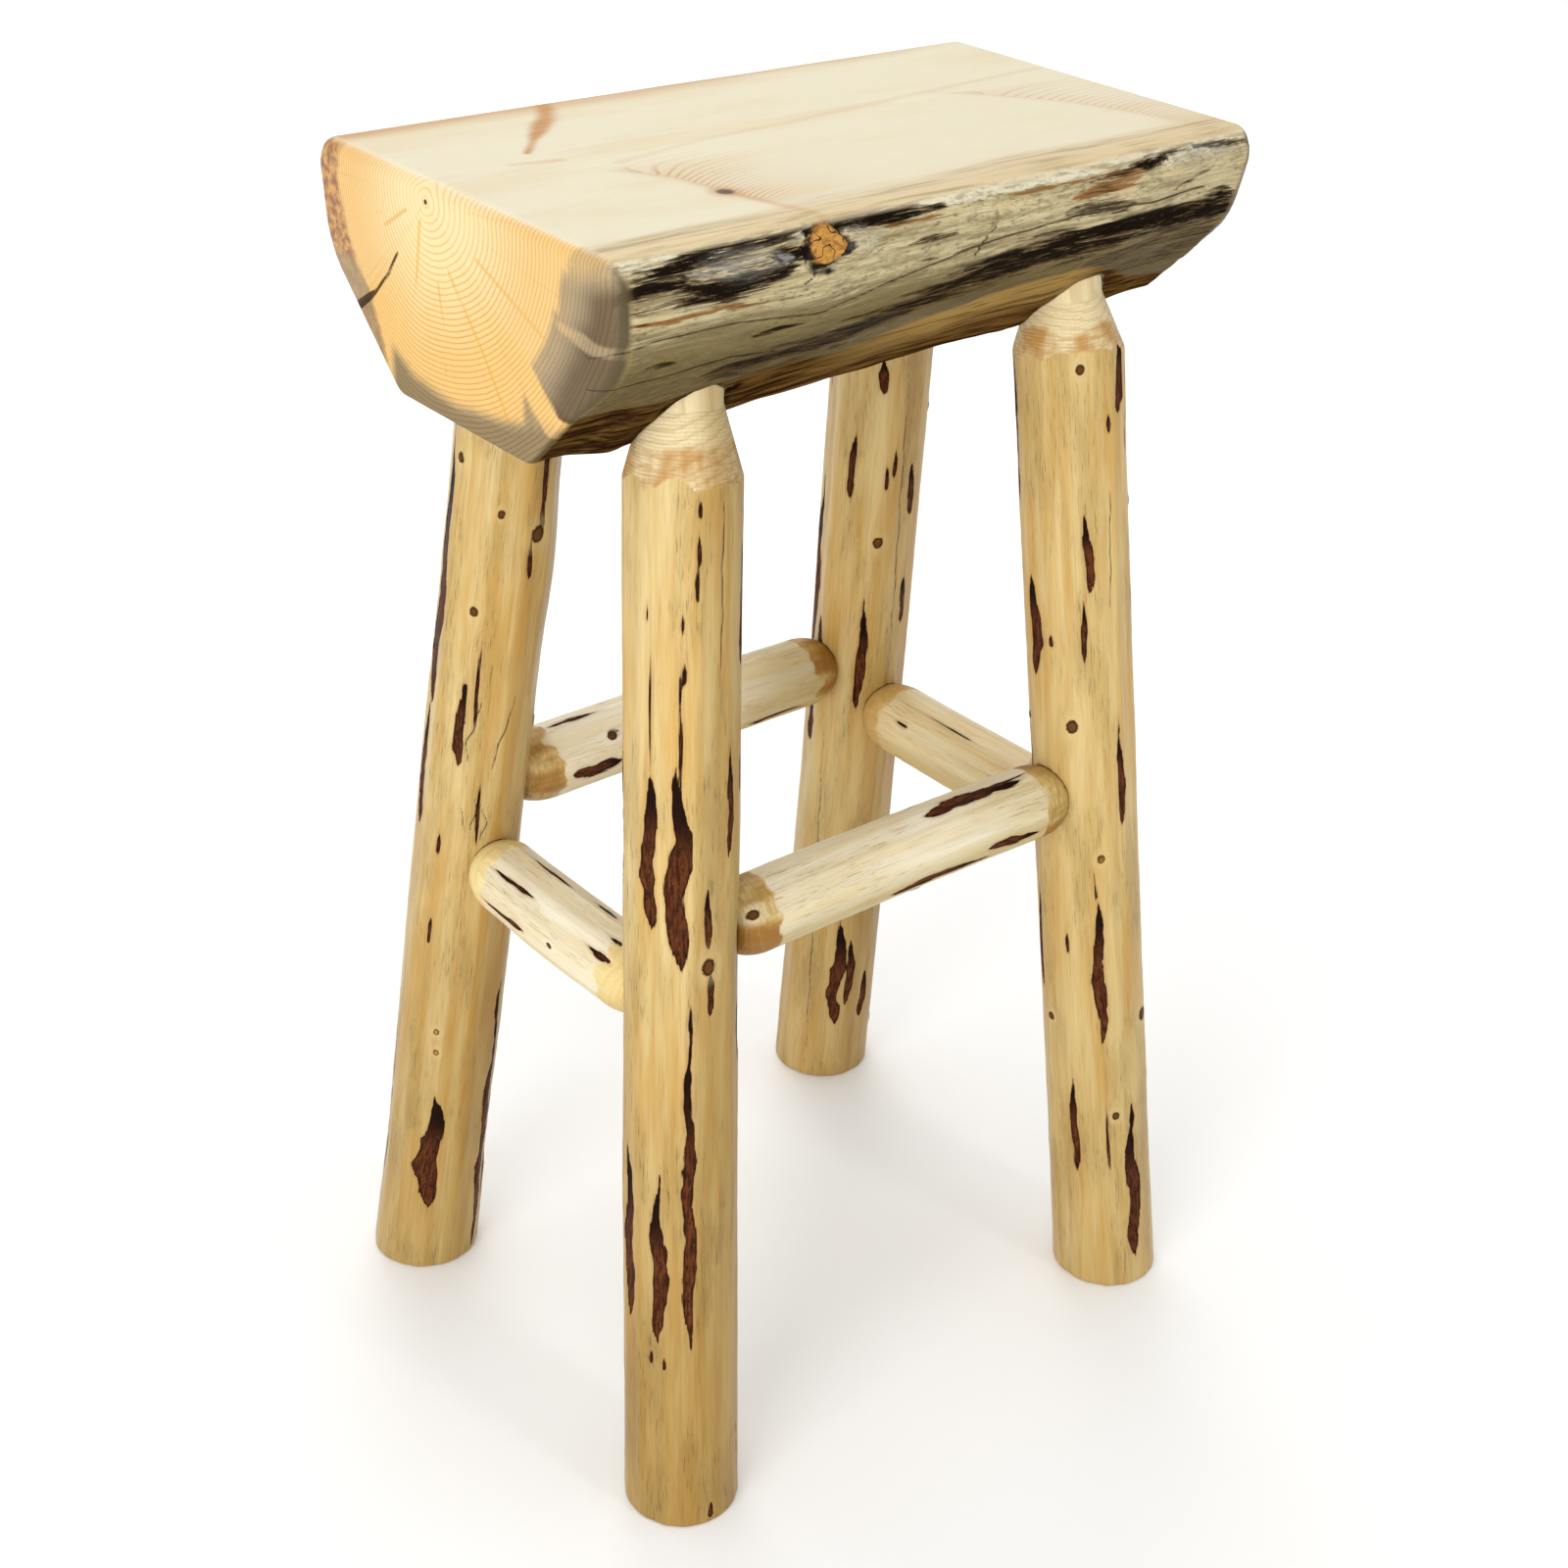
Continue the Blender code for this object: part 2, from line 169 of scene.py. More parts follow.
# Marks left on the poles by peeling. Bark: height from the foot, or from a rung's middle, in mm, angle
# round the pole in degrees, length and width in mm
BARK = {
    "front_left": [
        (598, 101, 18, 2.4), (580, 99, 20, 2.2), (619, 101, 11, 2.0), (563, 50, 9, 1.6), (559, 85, 10, 1.5),
        (533, 87, 14, 2.2), (434, 53, 98, 8.5), (422, 83, 122, 12), (505, 84, 86, 1.8), (512, 54, 70, 1.1),
        (457, 140, 66, 4.5), (391, 115, 34, 5.5), (346, 117, 26, 5), (231, 94, 224, 6.5), (178, 62, 106, 9),
        (194, 24, 122, 9), (113, 53, 10, 2.3), (110, 67, 9, 2.3), (6, 116, 14, 4)],
    "front_right": [
        (630, 78, 46, 9), (600, -66, 90, 7), (604, 58, 12, 3), (528, 27, 48, 6), (480, 20, 40, 3.6),
        (483, -40, 68, 9), (474, -17, 9, 2.4), (381, 58, 68, 6), (252, 23, 116, 7.6), (268, -13, 16, 2.5),
        (131, -13, 78, 5.4), (122, 25, 60, 2), (78, 54, 126, 9)],
    "back_left": [
        (520, 127, 190, 17), (385, 126, 90, 9), (566, -108, 34, 3.5), (536, -120, 26, 3),
        (452, -163, 54, 2.2), (366, -149, 48, 2.4), (428, 182, 60, 8), (338, 170, 18, 3),
        (275, 169, 22, 3.1), (103, -163, 98, 15), (120, -92, 226, 9), (590, -110, 50, 4)],
    "back_right": [
        (591, -98, 24, 6), (528, -127, 52, 5.6), (529, -77, 20, 3.7), (519, -86, 17, 3.1),
        (507, -47, 40, 6), (424, -46, 38, 6), (384, -98, 88, 7), (394, -158, 24, 6.5), (320, -164, 36, 8),
        (110, -92, 106, 10.5), (109, -76, 66, 6), (80, -50, 44, 6)],
    "front": [(56, 98, 78, 8), (78, 94, 52, 3), (20, 204, 80, 6), (75, 192, 44, 6)],
    "back": [(-82, 93, 38, 3.4), (-73, 187, 44, 8), (72, 221, 44, 5), (-60, 140, 9, 3.4)],
    "left": [(34, 48, 44, 2.6), (22, 104, 40, 2.8), (-56, 42, 24, 4), (-59, 72, 16, 3), (35, 349, 44, 4.2),
             (-28, 113, 22, 3)],
    "right": [(5, 67, 40, 1.2), (40, 32, 11, 2.2)],
}
# Knots: height, angle, diameter
KNOTS = {
    "front_left": [(363, 115, 8.6)],
    "front_right": [(639, 26, 5.4), (419, 3, 7.4), (328, 29, 5.2), (203, 82, 8), (208, -40, 5),
                    (136, 35, 5.2)],
    "back_left": [(591, 152, 5.4), (564, -156, 4.6), (501, -175, 5.7), (551, -114, 9), (200, -170, 4),
                  (184, -168, 4)],
    "back_right": [(473, -90, 7)],
    "front": [(-119, 144, 6.5)],
    "back": [(-62, 144, 6)],
    "left": [(-15, 5, 4.2)],
    "right": [],
}
# Drying checks: from height and angle to height and angle, and how far they wander, in mm
CHECKS = {
    "front_left": [(524, 127, 638, 126, 0.4)],
    "front_right": [(487, 52, 565, 57, 0.4)],
    "back_left": [(392, -141, 446, -121, 0.8), (398, -168, 446, -160, 1.6), (404, -178, 432, -174, 1.6),
                  (350, -150, 378, -156, 2.0), (346, -142, 374, -146, 2.0), (348, -160, 372, -166, 2.0)],
    "back_right": [(360, -59, 604, -67, 0.5), (8, -122, 341, -140, 0.5)],
    "front": [], "back": [], "left": [], "right": [],
}
# Swellings: height, angle, half length, half width in degrees, and how far out in mm
SWELLINGS = {"back_left": [(520, -72, 46, 34, 3.2)], "front_right": [(640, 120, 40, 30, 1.6)]}
# The side of each pole that those marks describe, in degrees. Seeded draws mark the rest.
MARKED_SIDE_DEG = {"front_left": 84, "front_right": 14, "back_left": -158, "back_right": -104,
                   "front": 141, "back": 146, "left": 49, "right": 37}

# Marks on the seat's live edges, in mm: distance from the seat's middle along it, and depth below its top.
# Each stroke also has a half width and a strength.
FRONT_DARK = [
    ([(-228, 18), (-205, 17), (-180, 18), (-155, 23), (-130, 22), (-108, 19)], 6.0, 1.0),
    # Partly painted shadow: the hollow under the lip
    ([(-200, 9), (-178, 8), (-150, 5), (-126, 4), (-98, 4)], 4.0, 1.0),
    ([(-128, 13), (-116, 13), (-100, 13)], 7.0, 1.0),
    ([(-226, 18), (-190, 15), (-150, 15), (-112, 14)], 11.0, 0.52),
    # Partly painted shadow under the lip, right of the stub
    ([(-100, 3), (-80, 4), (-58, 5), (-36, 6), (-12, 6)], 3.4, 1.0),
    ([(20, 49), (50, 47), (88, 44), (123, 42), (164, 43), (226, 44)], 10.0, 0.9),
    ([(52, 46), (88, 43), (123, 41), (180, 42)], 7.5, 1.3),
    # Partly painted shade: the lower side turning downwards
    ([(-150, 74), (-110, 74), (-80, 73), (-50, 66), (-20, 59), (10, 53), (40, 50), (80, 47)], 8.0, 0.85),
    ([(-90, 65), (-60, 63), (-9, 58), (28, 54), (80, 46)], 2.6, 0.8),
    ([(72, 24), (98, 25), (126, 27)], 10.0, 0.58),
    ([(80, 12), (100, 10), (116, 9), (132, 6), (152, 4), (176, 3)], 2.4, 0.8),
    ([(124, 7), (138, 6), (152, 6)], 5.0, 1.1),
    ([(170, 4), (196, 6), (226, 8)], 2.2, 0.9),
    ([(-40, 22), (-22, 21), (-2, 22)], 3.4, 0.6),
    ([(-34, 34), (-20, 34), (-8, 34)], 2.0, 0.5),
    ([(-134, 54), (-116, 52), (-98, 52)], 1.7, 1.0),
    ([(-196, 56), (-174, 57)], 1.2, 0.9),
    ([(-64, 80), (-48, 79)], 1.6, 0.7),
    ([(155, 26), (188, 16)], 2.8, 0.5),
    # Painted shade low at the right of the side
    ([(104, 66), (160, 64), (226, 66)], 17.0, 0.52),
]
# Peeled wood that still shines like wet bark: it gets more varnish and a silvery tone that is partly a
# painted highlight
FRONT_GLOSS = [
    ([(-176, 13), (-152, 13), (-130, 12), (-112, 15)], 6.0, 1.0),
    ([(-82, 15), (-70, 13), (-58, 14)], 6.0, 1.0),
    ([(144, 10), (170, 8), (208, 9)], 5.0, 1.0),
]
FRONT_RUST = [
    ([(-214, 31), (-188, 32), (-159, 31), (-128, 34)], 1.3, 0.9),
    ([(20, 9), (73, 9), (102, 9), (140, 8)], 1.2, 0.9),
    ([(-64, 4), (-34, 3), (-10, 3)], 1.0, 0.9),
    ([(-60, 11), (-40, 10), (-4, 9)], 1.3, 0.8),
    ([(70, 18), (90, 16), (112, 13), (132, 10), (144, 9)], 4.6, 0.75),
]
BACK_DARK = [
    ([(-200, 30), (-150, 33), (-90, 28), (-40, 31)], 4.5, 0.9),
    ([(-160, 10), (-128, 9), (-92, 10)], 2.6, 0.9),
    ([(-30, 52), (40, 48), (120, 50), (205, 46)], 5.0, 0.95),
    ([(20, 20), (60, 18), (110, 21), (170, 17)], 2.4, 0.7),
    ([(-215, 60), (-150, 64), (-80, 61)], 2.6, 0.7),
    ([(150, 30), (196, 27)], 4.0, 0.6),
]
BACK_RUST = [
    ([(-110, 12), (-60, 10), (-10, 12)], 1.8, 0.8),
    ([(60, 33), (120, 31), (180, 34)], 1.4, 0.6),
]
# Checks on the live edges: distance along the seat and depth
FRONT_CHECKS = [
    [(-219, 66), (-196, 64), (-166, 64), (-141, 64), (-108, 68)],
    [(-221, 45), (-189, 41), (-151, 42), (-89, 48), (-57, 43), (-25, 38), (3, 34), (40, 31), (90, 27),
     (186, 30)],
    [(-97, 22), (-101, 27), (-106, 29)],
]
FRONT_SCAR = [(22, 12), (23, 24), (16, 34), (13, 38)]
BACK_CHECKS = [
    [(-180, 46), (-100, 43), (-20, 40), (60, 42)],
    [(30, 68), (110, 64), (200, 66)],
]
# All of these by side, the front first, and the half width of the scar
LIVE_MARKS = {
    -1: {"dark": FRONT_DARK, "rust": FRONT_RUST, "gloss": FRONT_GLOSS, "check": FRONT_CHECKS},
    1: {"dark": BACK_DARK, "rust": BACK_RUST, "gloss": [], "check": BACK_CHECKS},
}
SCAR_WIDTH = 1.5
# Relief of the seat, in mm: what stands out, and what is sunk
SEAT_RELIEF = {"wave": 1.8, "streak": 0.40, "blotch": 0.35, "chip": 0.9, "plane": 0.12,
               "dark": 1.2, "check": 0.8, "axe": 0.4, "torn_and_shaded": 1.5}
# How much rounder the front corners of the ends are, and the depths where that starts and ends
LEFT_CORNER_ROUND = 0.008
RIGHT_CORNER_ROUND = 0.003
CORNER_STARTS = (0.0005, 0.014)
CORNER_ENDS = (0.090, 0.050)
# The depth of a line inside the log, to tell which way is out
CORE_DEPTH = 0.05
# Depths in mm over which the live edge starts and its pale lip ends, the lip's paleness partly a painted
# highlight on the rounded top edge
LIVE_STARTS = (1.5, 4.0)
LIP_DEPTHS = (8.5, 5.5)
# Where the axe took over from the live edge, in mm: distance along the seat and depth, how much higher
# that is at the back, and how it wanders
HIP_ALONG = (-220, -140, -50, -20, 40, 110, 170, 220)
HIP_DEPTHS = (86, 86, 84, 78, 66, 64, 84, 94)
BACK_HIP_RISE = 4
HIP_WAVE = 2.0
HIP_WAVE_LENGTH = 45
# The pale strip of the hewn sides, and the dark left end of the front one: distances along the seat where
# they start and end
STRIP_STARTS = (-80, 30)
STRIP_ENDS = (150, 110)
DARK_HEWN_ALONG = (-112, -150)
# How far the live edge darkens from cream to olive at depths below the top, in mm: partly darker wood and
# partly painted shade where the side turns downwards
SHADE_DEPTHS = (0, 14, 26, 36, 48, 62, 80)
SHADE_AMOUNTS = (0.10, 0.34, 0.42, 0.50, 1.05, 1.70, 2.00)
# Branch stubs on the seat's live edges: side, distance along, depth, radius, all in mm
STUBS = [(-1, -92, 11, 10.5), (1, -127, 17, 9.0)]
# How far a stub stands out, how deep the groove round it is, and how much less that is at its right, as
# shares of its radius
STUB_RISE = 0.16
STUB_GROOVE = 0.18
STUB_GROOVE_LEAN = 0.10
# Swellings and hollows beside them: side, distance along, depth, half length, half height, how far out
LUMPS = [
    (-1, -124, 19, 18, 5, 2.6), (-1, -142, 14, 24, 5, 3.2), (-1, -74, 16, 10, 6, 3.4),
    (-1, -44, 8, 34, 3.6, -4.6), (-1, -138, 9, 40, 3.2, -4.4), (-1, -192, 18, 26, 5, -2.6),
    (-1, 166, 10, 16, 5, 2.4), (-1, 112, 10, 28, 3.5, -2.8), (-1, 178, 6, 40, 2.5, -2.2),
    (-1, 120, 41, 75, 5, -2.0), (-1, 142, 9, 8, 5, -3.4), (-1, -160, 33, 60, 7, 1.6),
    (-1, 60, 20, 70, 8, 1.8), (1, -160, 19, 22, 8, 2.6), (1, -98, 12, 30, 4.5, -2.8),
    (1, 90, 49, 90, 6, -1.4), (1, -120, 31, 80, 6, -1.2),
]
# How far the hewn wood stands out beside the mouth of each leg's mortise, left and right of it, in mm
MOUTH_SWELL = {"front_left": (7.0, 1.5), "front_right": (2.5, 1.0), "back_left": (3.0, 2.0),
               "back_right": (2.0, 3.0)}
# Where that fades: distance from the mouth, depth, and distance along the seat from left to right of it
SWELL_FADE = (42.0, 2.0)
SWELL_DEPTHS = (74, 92)
MOUTH_SIDES = (-4.0, 40.0)
# How torn and dark the wood is round each mouth, the darkness partly painted shadow in the joint, and where
# that fades
TORN_REACH = (20.0, 3.0)
MOUTH_TORN_AND_SHADOW = {"front_left": 0.9, "front_right": 0.45, "back_left": 0.6, "back_right": 0.5}
# The top's figure, in mm: distance along the seat and across it, half widths at both ends and strength
TOP_STREAKS = [
    ([(-168, 27), (-154, 24), (-142, 21)], (3.6, 3.0), 0.35),
    ([(-104, -74), (-97, -100), (-90, -122)], (3.0, 3.0), 0.30),
    ([(-150, 40), (-135, 57), (-117, 77), (-100, 97), (-90, 112), (-85, 126)], (1.4, 9.0), 1.0),
    ([(-120, 2), (-60, 14), (40, 22), (210, 38)], (2.6, 2.6), 0.20),
]
# Where the grain folds back beside branches: distances across the top and along it, strength, and the
# distances across where it starts and is full
FOLDS = [((-120, -66, -34, -6, 11), (-92, -106, -112, -131, -156), 1.0, (2, -26)),
         ((-90, -62, -30, 6, 36), (190, 182, 168, 140, 100), 0.6, (40, 0))]
# Where all folds end across the top, and how far they draw the rings
FOLD_ENDS = (-112, -84)
FOLD_REACH = 16.0
# The warm band along the back of the top: where it starts and is full across and along, and its strength
BACK_BAND_ACROSS = (100, 120)
BACK_BAND_ALONG = (240, 100)
BACK_BAND = 0.72
# The edge of the stained band along the front of the top: distances along the seat, and across
TOP_STAIN_EDGE = ((-220, 220), (-112, -95))
# A knot in the top: distance along the seat and across it, and radius
TOP_KNOT = (-106, -68, 4.8)
# Where the pith lies at the left end: distance across the seat and depth
PITH_ACROSS = 24.0
PITH_DEPTH = 10.0
# Width of a growth ring beside the pith, in mm, and how rings crowd together away from it
RING_WIDTH = 4.6
RING_CROWDING = 0.0010
# Rings lie closer downwards than sideways, less so deep down, and closer at the back than at the front
RING_DOWN = 1.12
RING_DEEP = 900.0
RING_LEAN = 0.15
RING_LEAN_REACH = 30.0
# Thin radial cracks on the left end, each from and to a distance across and a depth, in mm
END_RAYS = [[(30, 20), (39, 75)], [(15, 49), (9, 83), (14, 119)], [(6, 39), (-24, 72), (-48, 104)],
            [(-20, 27), (-81, 51)], [(42, 18), (65, 32)]]
# Left end, in mm: where the stained sapwood starts, as depth and distance across, and the reverse below
FRONT_STAIN_DEPTHS = (0, 10, 16, 32, 40, 52, 64, 70, 82, 122)
FRONT_STAIN_EDGE = (-102, -97, -93, -89, -83, -79, -70, -65, -60, -58)
BELOW_STAIN_ACROSS = (-70, -45, -21, 3, 41, 62)
BELOW_STAIN_EDGE = (94, 101, 104, 107, 103, 93)
BACK_RIM_DEPTHS = (0, 20, 39, 59, 80, 122)
BACK_RIM_EDGE = (106, 110, 105, 93, 78, 62)
# A wedge of clean wood between the two stains, a paler band in the front one, and a check at the back
STAIN_WEDGE = [(-62, 74), (-88, 96)]
STAIN_BAND = [(-90, 40), (-140, 46)]
END_CHECK = [(53, 43), (63, 57), (77, 70), (96, 83)]

# Tones of the wood as they look under the studio light, in 8-bit sRGB, and how much that light lifts them
LIGHT_LIFT = 1.15
LEG_TONES = {"pale": (228, 203, 142), "honey": (212, 169, 90), "grey": (184, 155, 89),
             "line": (165, 122, 56), "turned": (244, 224, 176), "worn": (206, 158, 90),
             "wisp": (120, 100, 66)}
# The rungs' tones are partly their own pale wood and partly painted light against the seat's shadow, the
# tan right rung's most of all
RUNG_TONES = {"pale": (255, 248, 224), "honey": (246, 228, 182), "grey": (234, 214, 168),
              "line": (214, 176, 116), "turned": (255, 232, 164), "worn": (194, 142, 62),
              "wisp": (170, 136, 90)}
TAN_RUNG_TONES = {"pale": (255, 242, 198), "honey": (255, 230, 170), "grey": (252, 214, 150),
                  "line": (216, 168, 102), "turned": (250, 214, 138), "worn": (214, 164, 82),
                  "wisp": (190, 146, 92)}
BARK_RED = (104, 56, 31)
BARK_BROWN = (60, 31, 16)
BARK_RIM = (34, 17, 9)
BARK_FLAKE_AND_GLINT = (150, 98, 62)
BARK_HALO = (190, 138, 78)
KNOT_TAN = (190, 134, 66)
KNOT_BROWN = (104, 66, 32)
KNOT_DARK = (52, 30, 14)
CHECK_DARK = (54, 38, 20)
TOP_PALE = (241, 232, 202)
TOP_WARM = (237, 220, 180)
TOP_LINE = (222, 192, 140)
TOP_BAND = (224, 196, 144)
TOP_STREAK = (203, 139, 58)
END_PALE = (253, 228, 172)
END_WARM = (246, 202, 130)
END_LINE = (204, 148, 80)
END_RAY = (226, 174, 80)
STAIN_GREY = (172, 150, 114)
STAIN_LINE = (112, 94, 70)
RIM_BROWN = (160, 100, 55)
RIM_ROSE = (154, 104, 78)
LIVE_LIP = (244, 236, 208)
LIVE_CREAM = (216, 199, 153)
LIVE_OLIVE = (134, 119, 80)
# Smoke grey of the wood, also the darkest painted shade low on the side
LIVE_SMOKE_AND_SHADE = (92, 79, 52)
LIVE_BLACK = (29, 21, 14)
SILVER_AND_PAINTED_GLINT = (178, 172, 164)
LIVE_UMBER = (80, 62, 37)
LIVE_RUST = (148, 105, 57)
HEWN_EDGE = (170, 138, 80)
# HEWN_TAN and HEWN_BROWN are darker than the hewn wood itself: painted shade of the underside
HEWN_TAN = (112, 83, 42)
HEWN_BROWN = (54, 32, 12)
STUB_ORANGE = (214, 156, 74)
# How stained sapwood darkens towards the live edge, as a share of each colour
RIM_TINT = (0.37, 0.32, 0.26)
# How the lower part of a leg and the underside of a rung darken, as a share of each colour: partly painted
# shade and partly darker, warmer wood
FOOT_TINT = (0.64, 0.57, 0.40)
# How much of that each leg shows low down, partly painted shade and partly a warmer tone, and on the side
# turned from the light, as painted shade
FOOT_TONE_AND_SHADE = {"front_left": 1.0, "front_right": 0.45, "back_left": 0.75, "back_right": 0.6}
PAINTED_SHADE_SIDE = {"front_left": 0.75, "front_right": 0.0, "back_left": 0.55, "back_right": 0.55}
# Shares of a leg's peeled length where that starts and is full
FOOT_DARKENING_SHARES = (0.75, 0.08)
# How freshly the noses of each rung are turned, how much painted shade darkens it below, and how much it
# darkens towards its last end
NOSE_FRESH = {"front": 0.0, "back": 0.0, "left": 0.85, "right": 0.5}
SHADE_BELOW = {"front": 1.0, "back": 0.55, "left": 0.35, "right": 0.85}
TAN_END = {"front": 0.30, "back": 0.85, "left": 0.0, "right": 0.0}
# Shares of half a rung's peeled length where its darker end starts and is full
TAN_END_SHARES = (0.1, 0.8)
# Varnish, sheen of the wood under it, roughness, and depth of the finest relief
VARNISH = 0.10
VARNISH_ROUGHNESS = 0.16
VARNISH_IOR = 1.6
SHEEN = 0.22
POLE_ROUGHNESS = 0.34
SEAT_ROUGHNESS = 0.40
FLOOR_ROUGHNESS = 0.9
BUMP_DEPTH = 0.00035
# Noises in the figure of the wood: size across and along the grain in mm, detail and roughness
PINE_FIGURE = {
    "fibre": (0.6, 40, 4), "streak": (10, 130, 3), "vein": (2.6, 60, 4), "cloud": (20, 90),
    "wisp": (0.8, 14, 3, 0.6), "mottle": (1.6, 9, 4, 0.62), "flake": (1.1, 2.6, 3, 0.6),
    "chatter": (7, 1.5, 3), "gnarl": (1.5, 1.5)}
LOG_FIGURE = {
    "fibre": (0.7, 45, 4), "band": (3.2, 60, 4), "cloud": (30, 120), "blot": (6, 22, 5, 0.62),
    "rag": (1.5, 18, 4, 0.62), "speck": (1.3, 4.5, 4, 0.6), "mould": (2.4, 8, 5, 0.68)}

# Camera, stage and light
CAMERA_AT = (-0.83936, -1.00097, 1.10105)
CAMERA_YAW_DEG = 40.1054
CAMERA_PITCH_DEG = 29.489
CAMERA_ROLL_DEG = 2.2416
CAMERA_LENS_MM = 56.232
SENSOR_MM = 36.0
FLOOR_SIZE = 24.0
FLOOR_TONE = (250, 250, 249)
SKY_STRENGTH = 0.60
STOOL_MIDDLE = (0.0, 0.0, 0.4)
LIGHTS = {
    "key": {"at": (-2.6, -1.1, 1.45), "aim": STOOL_MIDDLE, "size": 1.5, "power": 34},
    "fill": {"at": (-1.9, -2.2, 0.8), "aim": STOOL_MIDDLE, "size": 1.5, "power": 16},
    "front": {"at": (0.5, -2.5, 2.2), "aim": STOOL_MIDDLE, "size": 0.35, "power": 8},
    "overhead": {"at": (0.4, 1.0, 4.2), "aim": STOOL_MIDDLE, "size": 4.0, "power": 58},
    "backdrop": {"at": (1.8, 3.4, 3.2), "aim": (2.2, 4.2, 0.0), "size": 2.6, "power": 95},
}


# Small helpers

def lerp(first, last, share):
    return first + (last - first) * share


def smooth(value, low, high):
    """0 up to low and 1 from high on, with a soft step between. low may be the larger of the two."""
    share = np.clip((value - low) / (high - low), 0.0, 1.0)
    return share * share * (3 - 2 * share)


def lattice(cells, seed):
    """A repeatable value from -1 to 1 for each cell of a grid."""
    x, y, z = (cells[..., i].astype(np.int64) for i in range(3))
    mixed = (x * 73856093) ^ (y * 19349663) ^ (z * 83492791) ^ (seed * 40503)
    mixed = (mixed ^ (mixed >> 13)) * 1274126177
    mixed = mixed ^ (mixed >> 16)
    return (mixed & 0xFFFF) / 32767.5 - 1.0


def noise(points, seed):
    """Smooth noise from -1 to 1 at points, with features about one unit across."""
    base = np.floor(points)
    part = points - base
    part = part * part * (3 - 2 * part)
    total = np.zeros(points.shape[:-1])
    for corner in range(8):
        step = np.array([corner & 1, corner >> 1 & 1, corner >> 2 & 1])
        weight = np.where(step, part, 1 - part).prod(-1)
        total += weight * lattice(base + step, seed)
    return total


def fractal(points, seed, octaves=3):
    """Noise with finer noise added to it."""
    total = 0.0
    for i in range(octaves):
        total = total + noise(points * 2.03 ** i, seed + i) / 2 ** i
    return total / 1.6


def stacked(*parts):
    """Coordinates side by side in one array of points."""
    return np.stack(np.broadcast_arrays(*parts), -1)


def wrapped(angle):
    """An angle brought to between minus and plus half a turn."""
    return (angle + math.pi) % TURN - math.pi


def unit(vectors):
    return vectors / np.linalg.norm(vectors, axis=-1, keepdims=True)


def segment_distance(across, down, path, halves=(1.0, 1.0)):
    """The distance from points to a line through the points of a path, in half widths of that line.

    halves gives the half width at the path's first and last points.
    """
    near = np.full(across.shape, 1e3)
    widths = np.linspace(*halves, len(path))
    for (x0, y0), (x1, y1), width, next_width in zip(path, path[1:], widths, widths[1:]):
        run, rise = x1 - x0, y1 - y0
        share = ((across - x0) * run + (down - y0) * rise) / (run * run + rise * rise)
        share = np.clip(share, 0, 1)
        away = np.hypot(across - x0 - share * run, down - y0 - share * rise)
        near = np.minimum(near, away / lerp(width, next_width, share))
    return near


# Meshes

def tube(body, first_hub, last_hub, cap_rings):
    """Points, faces and corner UVs of a tube of rings, closed at each end by rings that shrink to a hub.

    body is an array of rows x columns x 3. Rows of the caps come first and last.
    """
    shrink = np.linspace(1, 0, cap_rings + 1)[1:-1, None, None]
    first = first_hub + (body[0] - first_hub) * shrink[::-1]
    last = last_hub + (body[-1] - last_hub) * shrink
    grid = np.concatenate([first, body, last])
    rows, columns = grid.shape[:2]
    points = np.concatenate([grid.reshape(-1, 3), [first_hub, last_hub]])
    row = np.arange(rows - 1)[:, None] * columns
    here = np.arange(columns)[None, :]
    after = (here + 1) % columns
    quads = np.stack([row + here, row + after, row + columns + after, row + columns + here], -1)
    here, after = here[0], after[0]
    hub, end = rows * columns, (rows - 1) * columns
    first_fan = np.stack([np.full(columns, hub), after, here], -1)
    last_fan = np.stack([np.full(columns, hub + 1), end + here, end + after], -1)
    faces = quads.reshape(-1, 4).tolist() + first_fan.tolist() + last_fan.tolist()
    steps = np.linalg.norm(np.diff(grid, axis=0), axis=-1).mean(1)
    v = np.concatenate([[0], np.cumsum(steps)])
    ends = (grid[0], first_hub), (grid[-1], last_hub)
    rims = [np.linalg.norm(rim - hub_at, axis=-1).mean() for rim, hub_at in ends]
    v = (v + rims[0]) / (v[-1] + rims[0] + rims[1])
    u0, u1 = np.arange(columns) / columns, (np.arange(columns) + 1) / columns
    v0, v1 = v[:-1, None], v[1:, None]
    corners = [stacked(u0, v0), stacked(u1, v0), stacked(u1, v1), stacked(u0, v1)]
    middle = (u0 + u1) / 2
    first_uv = np.stack([stacked(middle, 0.0), stacked(u1, v[0]), stacked(u0, v[0])], 1)
    last_uv = np.stack([stacked(middle, 1.0), stacked(u0, v[-1]), stacked(u1, v[-1])], 1)
    uvs = [part.reshape(-1, 2) for part in (np.stack(corners, 2), first_uv, last_uv)]
    return points, faces, np.concatenate(uvs)


def capped(values, cap_rings, first=None, last=None):
    """A value for each point of a tube, from rows of values for its body and what the hubs have.

    Without a hub value, the cap keeps the value of its rim.
    """
    shrink = np.linspace(1, 0, cap_rings + 1)[1:-1].reshape((-1,) + (1,) * (values.ndim - 1))
    rims = values[0], values[-1]
    hubs = [rim.mean(0) if hub is None else hub for rim, hub in zip(rims, (first, last))]
    spread = [np.ones_like(shrink) if hub is None else shrink for hub in (first, last)]
    low = hubs[0] + (rims[0] - hubs[0]) * spread[0][::-1]
    high = hubs[1] + (rims[1] - hubs[1]) * spread[1]
    joined = np.concatenate([low, values, high])
    flat = joined.reshape((-1,) + values.shape[2:])
    return np.concatenate([flat, np.array(hubs).reshape((2,) + values.shape[2:])])


